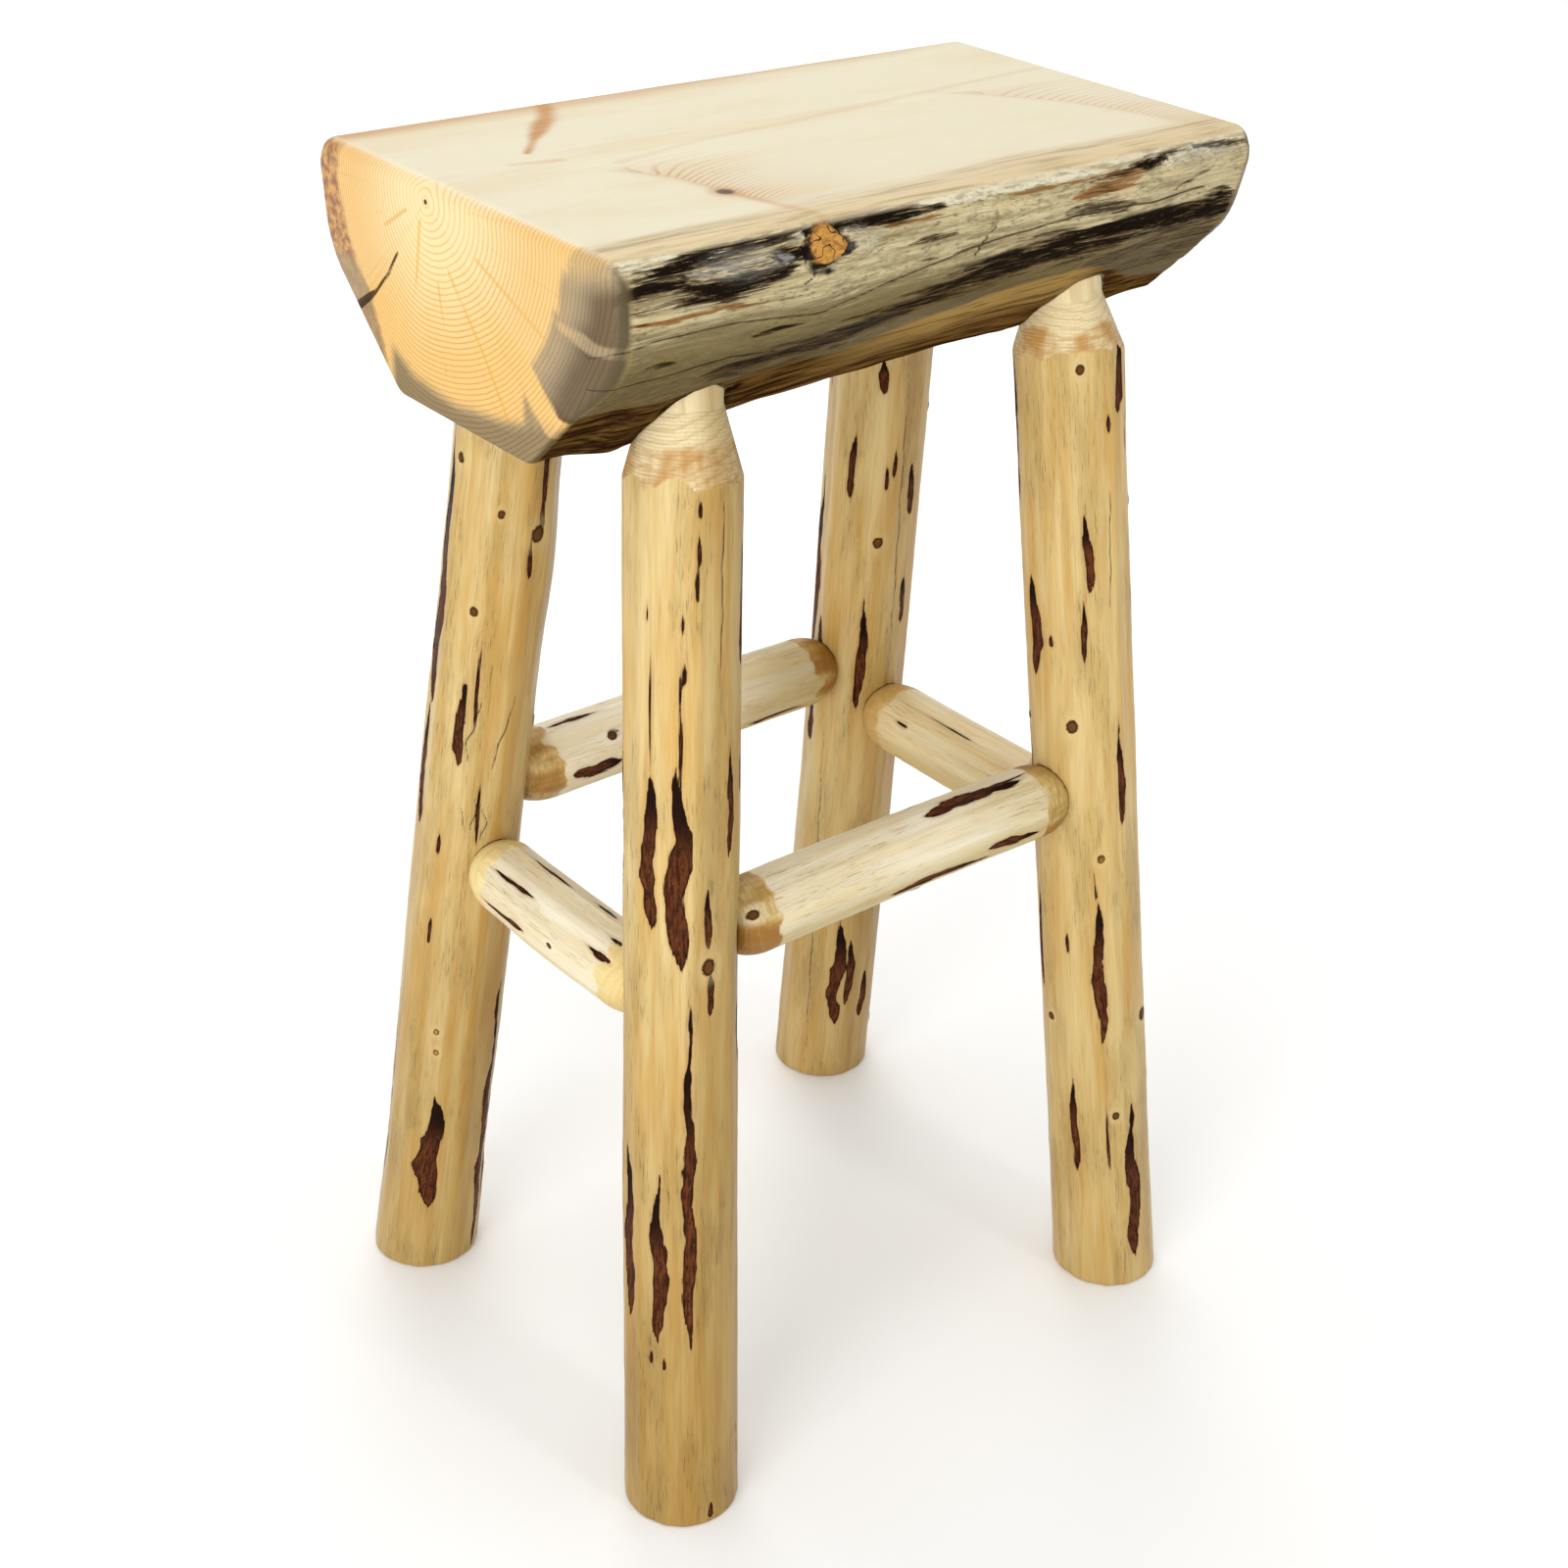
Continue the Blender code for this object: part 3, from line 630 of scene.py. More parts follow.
def make_piece(name, points, faces, uvs, attributes, material):
    """A mesh object from points, faces, corner UVs and a number or a vector for each point."""
    mesh = bpy.data.meshes.new(name)
    mesh.from_pydata(points.tolist(), [], faces)
    layer = mesh.uv_layers.new(name="OFBake")
    layer.data.foreach_set("uv", uvs.astype(np.float32).ravel())
    for key, values in attributes.items():
        kind, field = ("FLOAT_VECTOR", "vector") if values.ndim == 2 else ("FLOAT", "value")
        attribute = mesh.attributes.new(key, kind, "POINT")
        attribute.data.foreach_set(field, values.astype(np.float32).ravel())
    mesh.materials.append(material)
    mesh.shade_smooth()
    piece = bpy.data.objects.new(name, mesh)
    bpy.context.scene.collection.objects.link(piece)
    return piece


def make_cutter(pole, stations, defaults, material):
    """A turned cutter on a pole's axis, from pairs of distance along it and radius."""
    angle = np.arange(CUTTER_COLUMNS) * TURN / CUTTER_COLUMNS
    rows = [stacked(radius * np.cos(angle), radius * np.sin(angle), along) for along, radius in stations]
    body = pole.world(np.array(rows))
    points, faces, uvs = tube(body, body[0].mean(0), body[-1].mean(0), 2)
    values = {key: np.tile(np.array(value, float), (len(points),) + (1,) * np.ndim(value))
              for key, value in defaults.items()}
    values["grain"] = points
    return make_piece("cutter", points, faces, uvs * 0.01, values, material)


def bored(piece, cutters):
    """Cuts mortises into a piece for good."""
    for cutter in cutters:
        cut = piece.modifiers.new("mortise", "BOOLEAN")
        cut.operation = "DIFFERENCE"
        cut.solver = "MANIFOLD"
        cut.object = cutter
    graph = bpy.context.evaluated_depsgraph_get()
    result = piece.evaluated_get(graph)
    mesh = bpy.data.meshes.new_from_object(result, preserve_all_data_layers=True, depsgraph=graph)
    piece.modifiers.clear()
    piece.data = mesh
    for cutter in cutters:
        bpy.data.objects.remove(cutter)


# Poles

def knife_flats(seed, count):
    """The flats round a pole: the way each faces, how deep it is, and how that changes along it."""
    draw = random.Random(seed)
    flats = []
    for i in range(count):
        facing = TURN * (i + draw.uniform(-0.3, 0.3)) / count
        flats.append((facing, draw.uniform(0.45, 1.0), draw.uniform(4, 14), draw.uniform(0, 6.3)))
    return flats


def pole_radius(radius, angle, along, flats, cut):
    """The distance from a pole's axis to its drawknifed surface."""
    found = np.broadcast_to(radius, angle.shape).copy()
    for facing, share, drift, phase in flats:
        lean = np.cos(angle - facing)
        depth = cut * share * (0.6 + 0.4 * np.sin(drift * along + phase))
        flat = np.where(lean > 0.5, (radius - depth) / np.maximum(lean, 0.5), 1.0)
        found = np.minimum(found, flat)
    return found


def bark_field(seed, along, around, angle, marks):
    """How far inside a patch of inner bark a point lies, in mm, negative outside, and how near its tip."""
    ring = np.cos(angle), np.sin(angle)
    ragged = fractal(stacked(ring[0] * 10, ring[1] * 10, along / 11), seed, 4)
    ripple = noise(stacked(ring[0] * 3, ring[1] * 3, along / 8), seed + 5)
    best, tip = np.full(angle.shape, -FAR_BARK), np.zeros(angle.shape)
    for i, (height, facing, length, width) in enumerate(marks):
        up = (along - height) * 2 / length
        swerve = width * 0.16 * np.sin(along / 11 + i * 1.7)
        across = wrapped(angle - math.radians(facing)) * around - swerve
        reach = np.where(up > 0, 1 - np.abs(up) ** 1.5, 1 - np.abs(up) ** 5)
        half = width / 2 * reach * (1 + 0.25 * ripple)
        inside = half - np.abs(across) + ragged * min(1.7, 0.22 * width)
        tip = np.where(inside > best, up, tip)
        best = np.maximum(best, inside)
    return np.clip(best, -FAR_BARK, FAR_BARK), np.clip(tip, -1, 1)


def knot_field(along, around, angle, knots):
    """The distance to the nearest knot in knot radii, and how far the grain turns aside for it in mm."""
    near = np.full(angle.shape, FAR_KNOT)
    aside = np.zeros(angle.shape)
    for height, facing, size in knots:
        up = along - height
        across = wrapped(angle - math.radians(facing)) * around
        near = np.minimum(near, np.hypot(across, up / 1.2) / (size / 2))
        aside -= 0.85 * across * np.exp(-(np.hypot(across, up / 2.6) / (size * 0.8)) ** 2)
    return near, aside


def check_field(along, around, angle, checks):
    """The distance to the nearest drying check, in mm."""
    near = np.full(angle.shape, FAR_POLE_CHECK)
    for low, low_angle, high, high_angle, wander in checks:
        share = (along - low) / (high - low)
        facing = np.radians(lerp(low_angle, high_angle, share))
        stray = wander * (np.sin(along / 7 + low) + 0.5 * np.sin(along / 2.9 + high))
        across = np.abs(wrapped(angle - facing) * around - stray)
        past = np.maximum(0, np.maximum(-share, share - 1)) * (high - low)
        thin = 0.4 * np.abs(2 * share - 1) ** 3
        near = np.minimum(near, across + thin + past / 5)
    return near


class Pole:
    """A pole with turned ends, on its own axis."""

    def __init__(self, name, origin, direction, flats, cut):
        self.name = name
        self.seed = SEEDS[name]
        self.origin = np.array(origin)
        self.axes = np.array(Vector(direction).to_track_quat("Z", "Y").to_matrix())
        self.flats = knife_flats(self.seed, flats)
        self.cut = cut

    def world(self, local):
        return local @ self.axes.T + self.origin

    def knifed(self, along):
        """The drawknife's share of its full cut."""
        return 1.0

    def nose_margin(self, along):
        """How much wider than its true cut an end looks turned."""
        return 0.0

    def level(self, body):
        """Levels an end that isn't square, where there is one."""

    def unmarked_angle(self, draw):
        return MARKED_SIDE_DEG[self.name] + draw.uniform(*UNSEEN_DEG)

    def bark_marks(self):
        """The listed patches, patches for the other sides, and small dashes all round."""
        draw = random.Random(self.seed * 7)
        low, high = self.peeled()
        marks = list(BARK[self.name])
        for _ in range(int((high - low) / PATCH_SPACING)):
            size = draw.random() ** 3
            length = min(lerp(*PATCH_LENGTHS, size), (high - low) * 0.4)
            width = lerp(*PATCH_WIDTHS, size) * draw.uniform(0.7, 1.2)
            height = draw.uniform(low + length / 2, high - length / 2)
            marks.append((height, self.unmarked_angle(draw), length, width))
        for _ in range(int((high - low) / DASH_SPACING)):
            height, facing = draw.uniform(low, high), self.unmarked_angle(draw)
            marks.append((height, facing, draw.uniform(*DASH_LENGTHS), draw.uniform(*DASH_WIDTHS)))
        return marks

    def knots(self):
        draw = random.Random(self.seed * 11)
        low, high = self.peeled()
        knots = list(KNOTS[self.name])
        for _ in range(int((high - low) / KNOT_SPACING)):
            height = draw.uniform(low + KNOT_END_ROOM, high - KNOT_END_ROOM)
            knots.append((height, self.unmarked_angle(draw), draw.uniform(*KNOT_SIZES)))
        return knots

    def checks(self):
        draw = random.Random(self.seed * 17)
        low, high = self.peeled()
        checks = list(CHECKS[self.name])
        for _ in range(UNSEEN_CHECKS):
            start = lerp(low, high, draw.uniform(0, 0.55))
            facing = MARKED_SIDE_DEG[self.name] + draw.uniform(*UNSEEN_CHECKS_DEG)
            end = start + (high - low) * draw.uniform(0.15, 0.4)
            checks.append((start, facing, end, facing + draw.uniform(-7, 7), 0.5))
        return checks

    def skin(self, along, angle):
        """The radius with its fine relief, and the values that colour it."""
        seed, along_mm = self.seed, along * MM
        base = self.radius(along)
        around = np.broadcast_to(base * MM, angle.shape)
        ring = np.cos(angle), np.sin(angle)
        bark, tip = bark_field(seed, along_mm, around, angle, self.bark_marks())
        knot, aside = knot_field(along_mm, around, angle, self.knots())
        check = check_field(along_mm, around, angle, self.checks())
        lumps = fractal(stacked(ring[0] * 1.3, ring[1] * 1.3, along * 18), seed + 31, 3)
        ripple = noise(stacked(ring[0] * 4, ring[1] * 4, along * 130), seed + 37)
        body = pole_radius(base, angle, along, self.flats, self.cut * self.knifed(along))
        for height, facing, length, width, out in SWELLINGS.get(self.name, []):
            turn = np.degrees(wrapped(angle - math.radians(facing)))
            away = np.hypot((along_mm - height) / length, turn / width)
            body = body + out / MM * np.exp(-away ** 2)
        body = body + POLE_LUMP * lumps + POLE_RIPPLE * ripple - BARK_SINK * smooth(bark, -0.5, 0.9)
        body = body + KNOT_RISE * smooth(knot, 2.0, 0.6)
        body = body - KNOT_GROOVE * smooth(np.abs(knot - 1.05), 0.25, 0.0)
        body = body - CHECK_SINK * smooth(check, 0.9, 0.1)
        wave = fractal(stacked(ring[0] * 2.2, ring[1] * 2.2, along * 55), seed + 43, 2)
        cutter = self.turned_radius(along) + TOOL_STRAY * wave
        cutter = cutter + TOOL_RIDGE * np.sin(along_mm * TURN / TOOL_PITCH + wave * 6)
        turned = smooth(body - cutter + self.nose_margin(along), -0.0001, 0.0003)
        radius = np.minimum(body, cutter)
        grain_angle = angle + aside / around
        pith = PITH_STRAY * np.sin(along * 5 + seed), PITH_STRAY * np.cos(along * 4 + seed)
        growth = np.hypot(radius * ring[0] - pith[0], radius * ring[1] - pith[1]) * MM
        growth = growth + 0.5 * lumps + 0.35 * wave - 1.2 * np.exp(-(knot / 2) ** 2)
        return radius, {
            "bark": np.where(turned > 0.5, -FAR_BARK, bark), "tip": tip, "knot": knot, "check": check,
            "growth": growth, "turned": turned, "low": self.tone_and_shade(along, angle),
            "fresh": self.freshness(along + WEAR_STRAY * wave),
            "grain": stacked(radius * np.cos(grain_angle), radius * np.sin(grain_angle), along + self.seed)}

    def build(self, columns, material):
        angle = np.arange(columns)[None, :] * TURN / columns
        rows = self.rows()[:, None]
        along = self.stations(rows, angle)
        angle = np.broadcast_to(angle, along.shape)
        radius, values = self.skin(along, angle)
        radius = self.eased(radius, rows)
        body = stacked(radius * np.cos(angle) + self.bow(along), radius * np.sin(angle), along)
        self.level(body)
        hubs = body[0].mean(0), body[-1].mean(0)
        points, faces, uvs = tube(body, *hubs, POLE_CAP_RINGS)
        for row in (0, -1):
            values["turned"][row] = 1.0
            values["bark"][row] = -FAR_BARK
        attributes = {key: capped(value, POLE_CAP_RINGS) for key, value in values.items()}
        attributes["growth"] = capped(values["growth"], POLE_CAP_RINGS, 0.0, 0.0)
        return make_piece(self.piece_name, self.world(points), faces, uvs, attributes, material)


class Leg(Pole):
    """A splayed leg, measured along its axis from the floor."""

    def __init__(self, side, end):
        name = side + "_" + end
        end_sign, side_sign = END_SIGNS[end], SIDE_SIGNS[side]
        stray_x, stray_y = FOOT_STRAY[name]
        top_x = SEAT_LENGTH / 2 - LEG_END_INSET
        top_y = seat_half_width(0) - LEG_SIDE_INSET
        foot_x = top_x + SEAT_HEIGHT * math.tan(math.radians(LEG_END_SPLAY_DEG)) + stray_x
        foot_y = top_y + SEAT_HEIGHT * math.tan(math.radians(LEG_SIDE_SPLAY_DEG)) + stray_y
        foot = Vector((end_sign * foot_x, side_sign * foot_y, 0.0))
        top = Vector((end_sign * top_x, side_sign * top_y, SEAT_HEIGHT))
        self.axis = (top - foot).normalized()
        super().__init__(name, foot, self.axis, LEG_FLATS, LEG_KNIFE_CUT)
        self.piece_name = "look_leg_" + name
        drop = CONE_DROP.get(name, 0.0)
        self.taper = LEG_TAPER_LENGTH + drop
        self.shoulder = (SEAT_HEIGHT - seat_depth(top.x)) / self.axis.z - LEG_SHOULDER_DROP - drop
        self.tenon_root = self.shoulder + self.taper
        self.tip = self.tenon_root + LEG_TENON_LENGTH
        self.up = self.axes.T @ np.array([0.0, 0.0, 1.0])

    def peeled(self):
        """The peeled length, from and to, in mm."""
        return 0.0, self.shoulder * MM

    def at_height(self, height):
        return Vector(self.origin) + self.axis * (height / self.axis.z)

    def radius(self, along):
        return lerp(LEG_FOOT_RADIUS, LEG_HEAD_RADIUS, along / self.shoulder)

    def turned_radius(self, along):
        slope = (LEG_HEAD_RADIUS - LEG_TENON_RADIUS) / self.taper
        return np.maximum(LEG_TENON_RADIUS, LEG_TENON_RADIUS + slope * (self.tenon_root - along))

    def bow(self, along):
        return LEG_BOW * np.maximum(0, np.sin(math.pi * along / self.shoulder))

    def knifed(self, along):
        """The drawknife's share of its full cut, which runs out at the foot."""
        return lerp(FOOT_CUT_SHARE, 1.0, smooth(along, 0.0, FOOT_CUT_LENGTH))

    def tone_and_shade(self, along, angle):
        """The lower part is darker, partly a warmer tone and partly painted shade, and the side turned from
        the light has painted shade.
        """
        starts, full = (share * self.shoulder for share in FOOT_DARKENING_SHARES)
        low = FOOT_TONE_AND_SHADE[self.name] * smooth(along, starts, full)
        # Painted shade on the side turned from the light
        turned_off = np.sin(angle - math.radians(MARKED_SIDE_DEG[self.name]))
        return np.minimum(1.0, low + PAINTED_SHADE_SIDE[self.name] * smooth(turned_off, 0.15, 0.75))

    def freshness(self, along):
        """How little the cone's upper half is worn."""
        starts, full = (lerp(self.shoulder, self.tenon_root, share) for share in CONE_FRESH)
        return smooth(along, starts, full)

    def stations(self, rows, angle):
        """Distances along the axis, with the foot sawn level with the floor."""
        tilt = LEG_FOOT_RADIUS * (self.up[0] * np.cos(angle) + self.up[1] * np.sin(angle)) / self.up[2]
        return rows - tilt * np.clip(1 - rows / FOOT_TILT_LENGTH, 0, 1)

    def level(self, body):
        """Brings the rim of the foot exactly to the floor."""
        body[0, :, 2] -= self.world(body[0])[:, 2] / self.up[2]

    def eased(self, radius, rows):
        """Takes the edge off the foot and off the tenon's tip."""
        low, high = rows / FOOT_CHAMFER, (self.tip - rows) / FOOT_CHAMFER
        return radius - FOOT_CHAMFER * (np.clip(1 - low, 0, 1) + np.clip(1 - high, 0, 1))

    def rows(self):
        cone_start = self.shoulder - CONE_LEAD
        body = np.arange(FOOT_CHAMFER, cone_start, LEG_STEP)
        cone = np.arange(cone_start, self.tenon_root, CONE_STEP)
        tenon = np.linspace(self.tenon_root, self.tip - FOOT_CHAMFER, 6)
        return np.concatenate([[0.0], body, cone, tenon, [self.tip]])

    def mortise(self):
        """Stations of the cutter for this leg's mortise in the seat."""
        below = self.shoulder - self.taper
        slope = (LEG_HEAD_RADIUS - LEG_TENON_RADIUS) / self.taper
        wide = LEG_TENON_RADIUS + slope * (self.tenon_root - below)
        return [(below, wide + JOINT_GAP), (self.tenon_root, LEG_TENON_RADIUS + JOINT_GAP),
                (self.tip + MORTISE_END_ROOM, LEG_TENON_RADIUS + JOINT_GAP)]


class Rung(Pole):
    """A rung between two legs, measured along its axis from its middle."""

    def __init__(self, name, first, last, height):
        start, end = first.at_height(height), last.at_height(height)
        super().__init__(name, (start + end) / 2, (end - start).normalized(), RUNG_FLATS, RUNG_KNIFE_CUT)
        self.piece_name = "look_rung_" + name
        self.legs = first.name, last.name
        leg_radius = first.radius(height / first.axis.z)
        self.tenon_root = (end - start).length / 2 - leg_radius + RUNG_SINK
        self.shoulder = self.tenon_root - RUNG_NOSE_LENGTH
        self.tip = self.tenon_root + RUNG_TENON_LENGTH

    def peeled(self):
        """The peeled length, from and to, in mm."""
        return -self.shoulder * MM, self.shoulder * MM

    def radius(self, along):
        return np.full(np.shape(along), RUNG_RADIUS)

    def turned_radius(self, along):
        share = np.clip((np.abs(along) - self.shoulder) / RUNG_NOSE_LENGTH, 0, 1)
        clear = TOOL_CLEARANCE * smooth(np.abs(along), self.shoulder, self.shoulder - 0.008)
        return lerp(RUNG_TENON_RADIUS, RUNG_RADIUS, np.sqrt(1 - share * share)) + clear

    def bow(self, along):
        return RUNG_BOW * np.maximum(0, np.cos(math.pi / 2 * along / self.shoulder))

    def tone_and_shade(self, along, angle):
        """Painted shade darkens the underside, and the last end of some is darker."""
        upward = self.axes[2, 0] * np.cos(angle) + self.axes[2, 1] * np.sin(angle)
        starts, full = (share * self.shoulder for share in TAN_END_SHARES)
        towards_end = smooth(along, starts, full)
        nose = smooth(np.abs(along), self.shoulder - 0.002, self.shoulder + 0.006)
        worn = 0.6 * (1 - NOSE_FRESH[self.name]) * nose
        # Painted shade under the rung
        below = SHADE_BELOW[self.name] * smooth(upward, 0.45, -0.45)
        return np.minimum(1.0, below + TAN_END[self.name] * towards_end + worn)

    def nose_margin(self, along):
        """How much wider than its true cut a nose looks turned."""
        return NOSE_MARGIN * smooth(np.abs(along), self.shoulder - 0.003, self.shoulder + 0.004)

    def freshness(self, along):
        return np.full(np.shape(along), NOSE_FRESH[self.name])

    def stations(self, rows, angle):
        return rows + np.zeros_like(angle)

    def eased(self, radius, rows):
        return radius - FOOT_CHAMFER * np.clip(1 - (self.tip - np.abs(rows)) / FOOT_CHAMFER, 0, 1)

    def rows(self):
        inner = self.shoulder - NOSE_LEAD
        body = np.arange(RUNG_STEP_ALONG, inner, RUNG_STEP_ALONG)
        nose = inner + (self.tenon_root - inner) * np.sin(np.linspace(0, math.pi / 2, NOSE_STEPS))
        tenon = np.linspace(self.tenon_root, self.tip - FOOT_CHAMFER, 5)[1:]
        half = np.concatenate([body, nose, tenon, [self.tip]])
        return np.concatenate([-half[::-1], [0.0], half])

    def mortise(self, sign):
        """Stations of the cutter for the socket and mortise at one end."""
        socket = np.linspace(self.tenon_root - 3 * RUNG_SINK, self.tenon_root, 14)
        stations = [(along, float(self.turned_radius(along)) + JOINT_GAP) for along in socket]
        stations.append((self.tip + MORTISE_END_ROOM, RUNG_TENON_RADIUS + JOINT_GAP))
        return [(sign * along, radius) for along, radius in stations][::sign]


# Seat

def seat_share(x):
    return x / SEAT_LENGTH + 0.5


def seat_half_width(x):
    return lerp(SEAT_BUTT_HALF_WIDTH, SEAT_TIP_HALF_WIDTH, seat_share(x))


def seat_depth(x):
    return lerp(SEAT_BUTT_DEPTH, SEAT_TIP_DEPTH, seat_share(x))


def rounded(before, corner, after, radius, count):
    """Points along an arc of that radius between two straight edges that meet at a corner."""
    to_before, to_after = unit(before - corner), unit(after - corner)
    half = np.arccos((to_before * to_after).sum(-1)) / 2
    edges = np.linalg.norm(before - corner, axis=-1), np.linalg.norm(after - corner, axis=-1)
    reach = np.minimum(radius / np.tan(half), 0.45 * np.minimum(*edges))[..., None]
    centre = corner + unit(to_before + to_after) * (reach / np.cos(half)[..., None])
    start, end = corner + to_before * reach - centre, corner + to_after * reach - centre
    share = np.linspace(0, 1, count)[:, None, None]
    spokes = unit(lerp(start, end, share))
    return centre + spokes * np.linalg.norm(start, axis=-1)[:, None]


def half_outline(x, counts):
    """Half of the log's section at stations x, from the middle of the top to the middle of the belly."""
    width, depth, zero = seat_half_width(x), seat_depth(x), np.zeros_like(x)
    hip_inset = lerp(SEAT_BUTT_HIP_INSET, SEAT_TIP_HIP_INSET, seat_share(x))
    top, rim = stacked(zero, zero), stacked(width, zero)
    hip = stacked(width - hip_inset, SEAT_HIP_DEPTH + zero)
    belly_edge, belly = stacked(SEAT_BELLY_HALF_WIDTH + zero, depth), stacked(zero, depth)
    arcs = [rounded(top, rim, hip, SEAT_TOP_ROUND, counts[1]),
            rounded(rim, hip, belly_edge, SEAT_HIP_ROUND, counts[3]),
            rounded(hip, belly_edge, belly, SEAT_BELLY_ROUND, counts[5])]
    parts = []
    start = top
    for arc, count in zip(arcs, counts[::2]):
        parts += [lerp(start, arc[0], share) for share in np.linspace(0, 1, count, endpoint=False)]
        parts += list(arc[:-1])
        start = arc[-1]
    parts += [lerp(start, belly, share) for share in np.linspace(0, 1, counts[6])]
    return np.stack(parts, 1)


def live_edge(x, side, depth_share):
    """How far the log's side stands out: slow waves, and swellings near the branches."""
    out = SEAT_WAVE * np.sin(31 * x + 2.1 * side) * np.cos(17 * x + side)
    for from_butt in SWELLS_FROM_BUTT[side]:
        out = out + SWELL_HEIGHT * np.exp(-((x + SEAT_LENGTH / 2 - from_butt) / SWELL_REACH) ** 2)
    return out * np.sin(math.pi * np.minimum(1.0, depth_share * 1.5)) ** 2


def stroke(along, down, path, half, strength, ragged):
    """A soft mark drawn along a path, thin at its ends."""
    stops = np.array(path, float).T
    middle = np.interp(along, stops[0], stops[1])
    first, last = stops[0][0], stops[0][-1]
    end = np.minimum(along - first, last - along) / min(24.0, (last - first) / 2)
    width = half * np.clip(end, 0, 1) ** 0.7 + 1e-3
    return strength * smooth(np.abs(down - middle) / width + 0.9 * ragged, 1.8, 0.0)


class Seat:
    """The half log, with its butt end at the left."""

    def __init__(self):
        half = SEAT_LENGTH / 2
        rows = int(SEAT_LENGTH / SEAT_STEP)
        turn = np.linspace(0, math.pi / 2, SEAT_END_STEPS, endpoint=False)
        share = np.concatenate([np.zeros(SEAT_END_STEPS), np.linspace(0, 1, rows), np.ones(SEAT_END_STEPS)])
        swing = np.concatenate([turn, np.full(rows, math.pi / 2), turn[::-1]])
        front, back = (half_outline(np.array([0.0]), counts) for counts in (FRONT_COUNTS, BACK_COUNTS))
        side = np.repeat([-1, 1], [front.shape[1], back.shape[1] - 2])[None, :]
        level = np.concatenate([front[0, :, 1], back[0, -2:0:-1, 1]])[None, :]
        corner = smooth(level, *CORNER_STARTS) * smooth(level, *CORNER_ENDS) * (side < 0)
        left_round = SEAT_END_ROUND + LEFT_CORNER_ROUND * corner
        right_round = SEAT_END_ROUND + RIGHT_CORNER_ROUND * corner
        share, swing = share[:, None], swing[:, None]
        end_round = np.where(share < 0.5, left_round, right_round)
        outward = np.where(share < 0.5, -1, 1)
        self.x = lerp(-half + left_round, half - right_round, share) + outward * end_round * np.cos(swing)
        self.side = np.broadcast_to(side, self.x.shape)
        self.inset = end_round * (1 - np.sin(swing))
        self.end = smooth(np.cos(swing), 0.0, 0.75) + np.zeros_like(self.x)
        self.section = self.make_section()
        self.across, self.down = self.section[..., 0], self.section[..., 1]
        self.along_mm, self.across_mm, self.down_mm = self.x * MM, self.across * MM, self.down * MM
        self.streaky = self.figure(34, 3.2, 7.0, 1)
        self.blotchy = self.figure(12, 5, 5.0, 11)
        self.live = smooth(self.down_mm, *LIVE_STARTS)
        self.hip_line = self.find_hip()
        self.hewn = smooth(self.down_mm, self.hip_line - 1.0, self.hip_line + 2.5)

    def make_section(self):
        """Distance across and depth for every point before the ends are rounded over."""
        columns = []
        for side, counts in ((-1, FRONT_COUNTS), (1, BACK_COUNTS)):
            picked = np.flatnonzero(self.side[0] == side)
            outline = half_outline(self.x[:, picked[0]], counts)
            outline = outline if side < 0 else outline[:, -2:0:-1]
            x = self.x[:, picked]
            across, down = outline[..., 0], outline[..., 1]
            out = live_edge(x, side, down / seat_depth(x))
            across = across + np.where(across > SEAT_BELLY_HALF_WIDTH, out, 0)
            columns.append(stacked(side * across, down))
        return np.concatenate(columns, 1)

    def figure(self, along, down, apart, seed):
        """Noise with its sizes along the seat and down its sides in mm, unlike on the two sides."""
        spots = stacked(self.along_mm / along, self.down_mm / down, self.side * apart)
        return fractal(spots, SEEDS["seat"] + seed, 3)

    def find_hip(self):
        """The depth in mm at which the axe took over from the live edge."""
        front = np.interp(self.along_mm, HIP_ALONG, HIP_DEPTHS)
        wander = noise(stacked(self.along_mm / HIP_WAVE_LENGTH, self.side, 0.0), SEEDS["seat"])
        return np.where(self.side < 0, front, front - BACK_HIP_RISE) + HIP_WAVE * wander

    def place(self, across, down):
        """Draws the section in where the ends are rounded over."""
        width, depth = seat_half_width(self.x), seat_depth(self.x)
        across = across * (1 - self.inset / width)
        down = depth / 2 + (down - depth / 2) * (1 - 2 * self.inset / depth)
        return across, down

    def nearest(self, side, along_mm, depth_mm):
        """The point of a live edge at a distance along the seat and a depth below its top, in mm."""
        miss = np.hypot(self.x * MM - along_mm, self.down * MM - depth_mm) + 1e3 * (self.side != side)
        index = np.unravel_index(miss.argmin(), miss.shape)
        return np.array([self.x[index], self.across[index], self.down[index]]) * MM

    def live_marks(self):
        """Strokes of each kind on the live edges, and the distance to the nearest check there in mm."""
        marks = {kind: np.zeros_like(self.x) for kind in ("dark", "rust", "gloss")}
        check = np.full(self.x.shape, FAR_SEAT_MARK)
        stray = 0.3 * np.sin(self.along_mm / 13) + 0.15 * np.sin(self.along_mm / 4.7)
        for side, drawn in LIVE_MARKS.items():
            here = self.side == side
            for kind in marks:
                for path, half, strength in drawn[kind]:
                    ink = stroke(self.along_mm, self.down_mm, path, half, strength, self.streaky)
                    marks[kind] = np.maximum(marks[kind], here * ink)
            for path in drawn["check"]:
                away = segment_distance(self.along_mm, self.down_mm + stray, path)
                check = np.where(here, np.minimum(check, away), check)
        scar = segment_distance(self.along_mm, self.down_mm, FRONT_SCAR) / (SCAR_WIDTH + self.streaky)
        marks["check"] = np.where(self.side < 0, np.minimum(check, scar), check)
        return marks

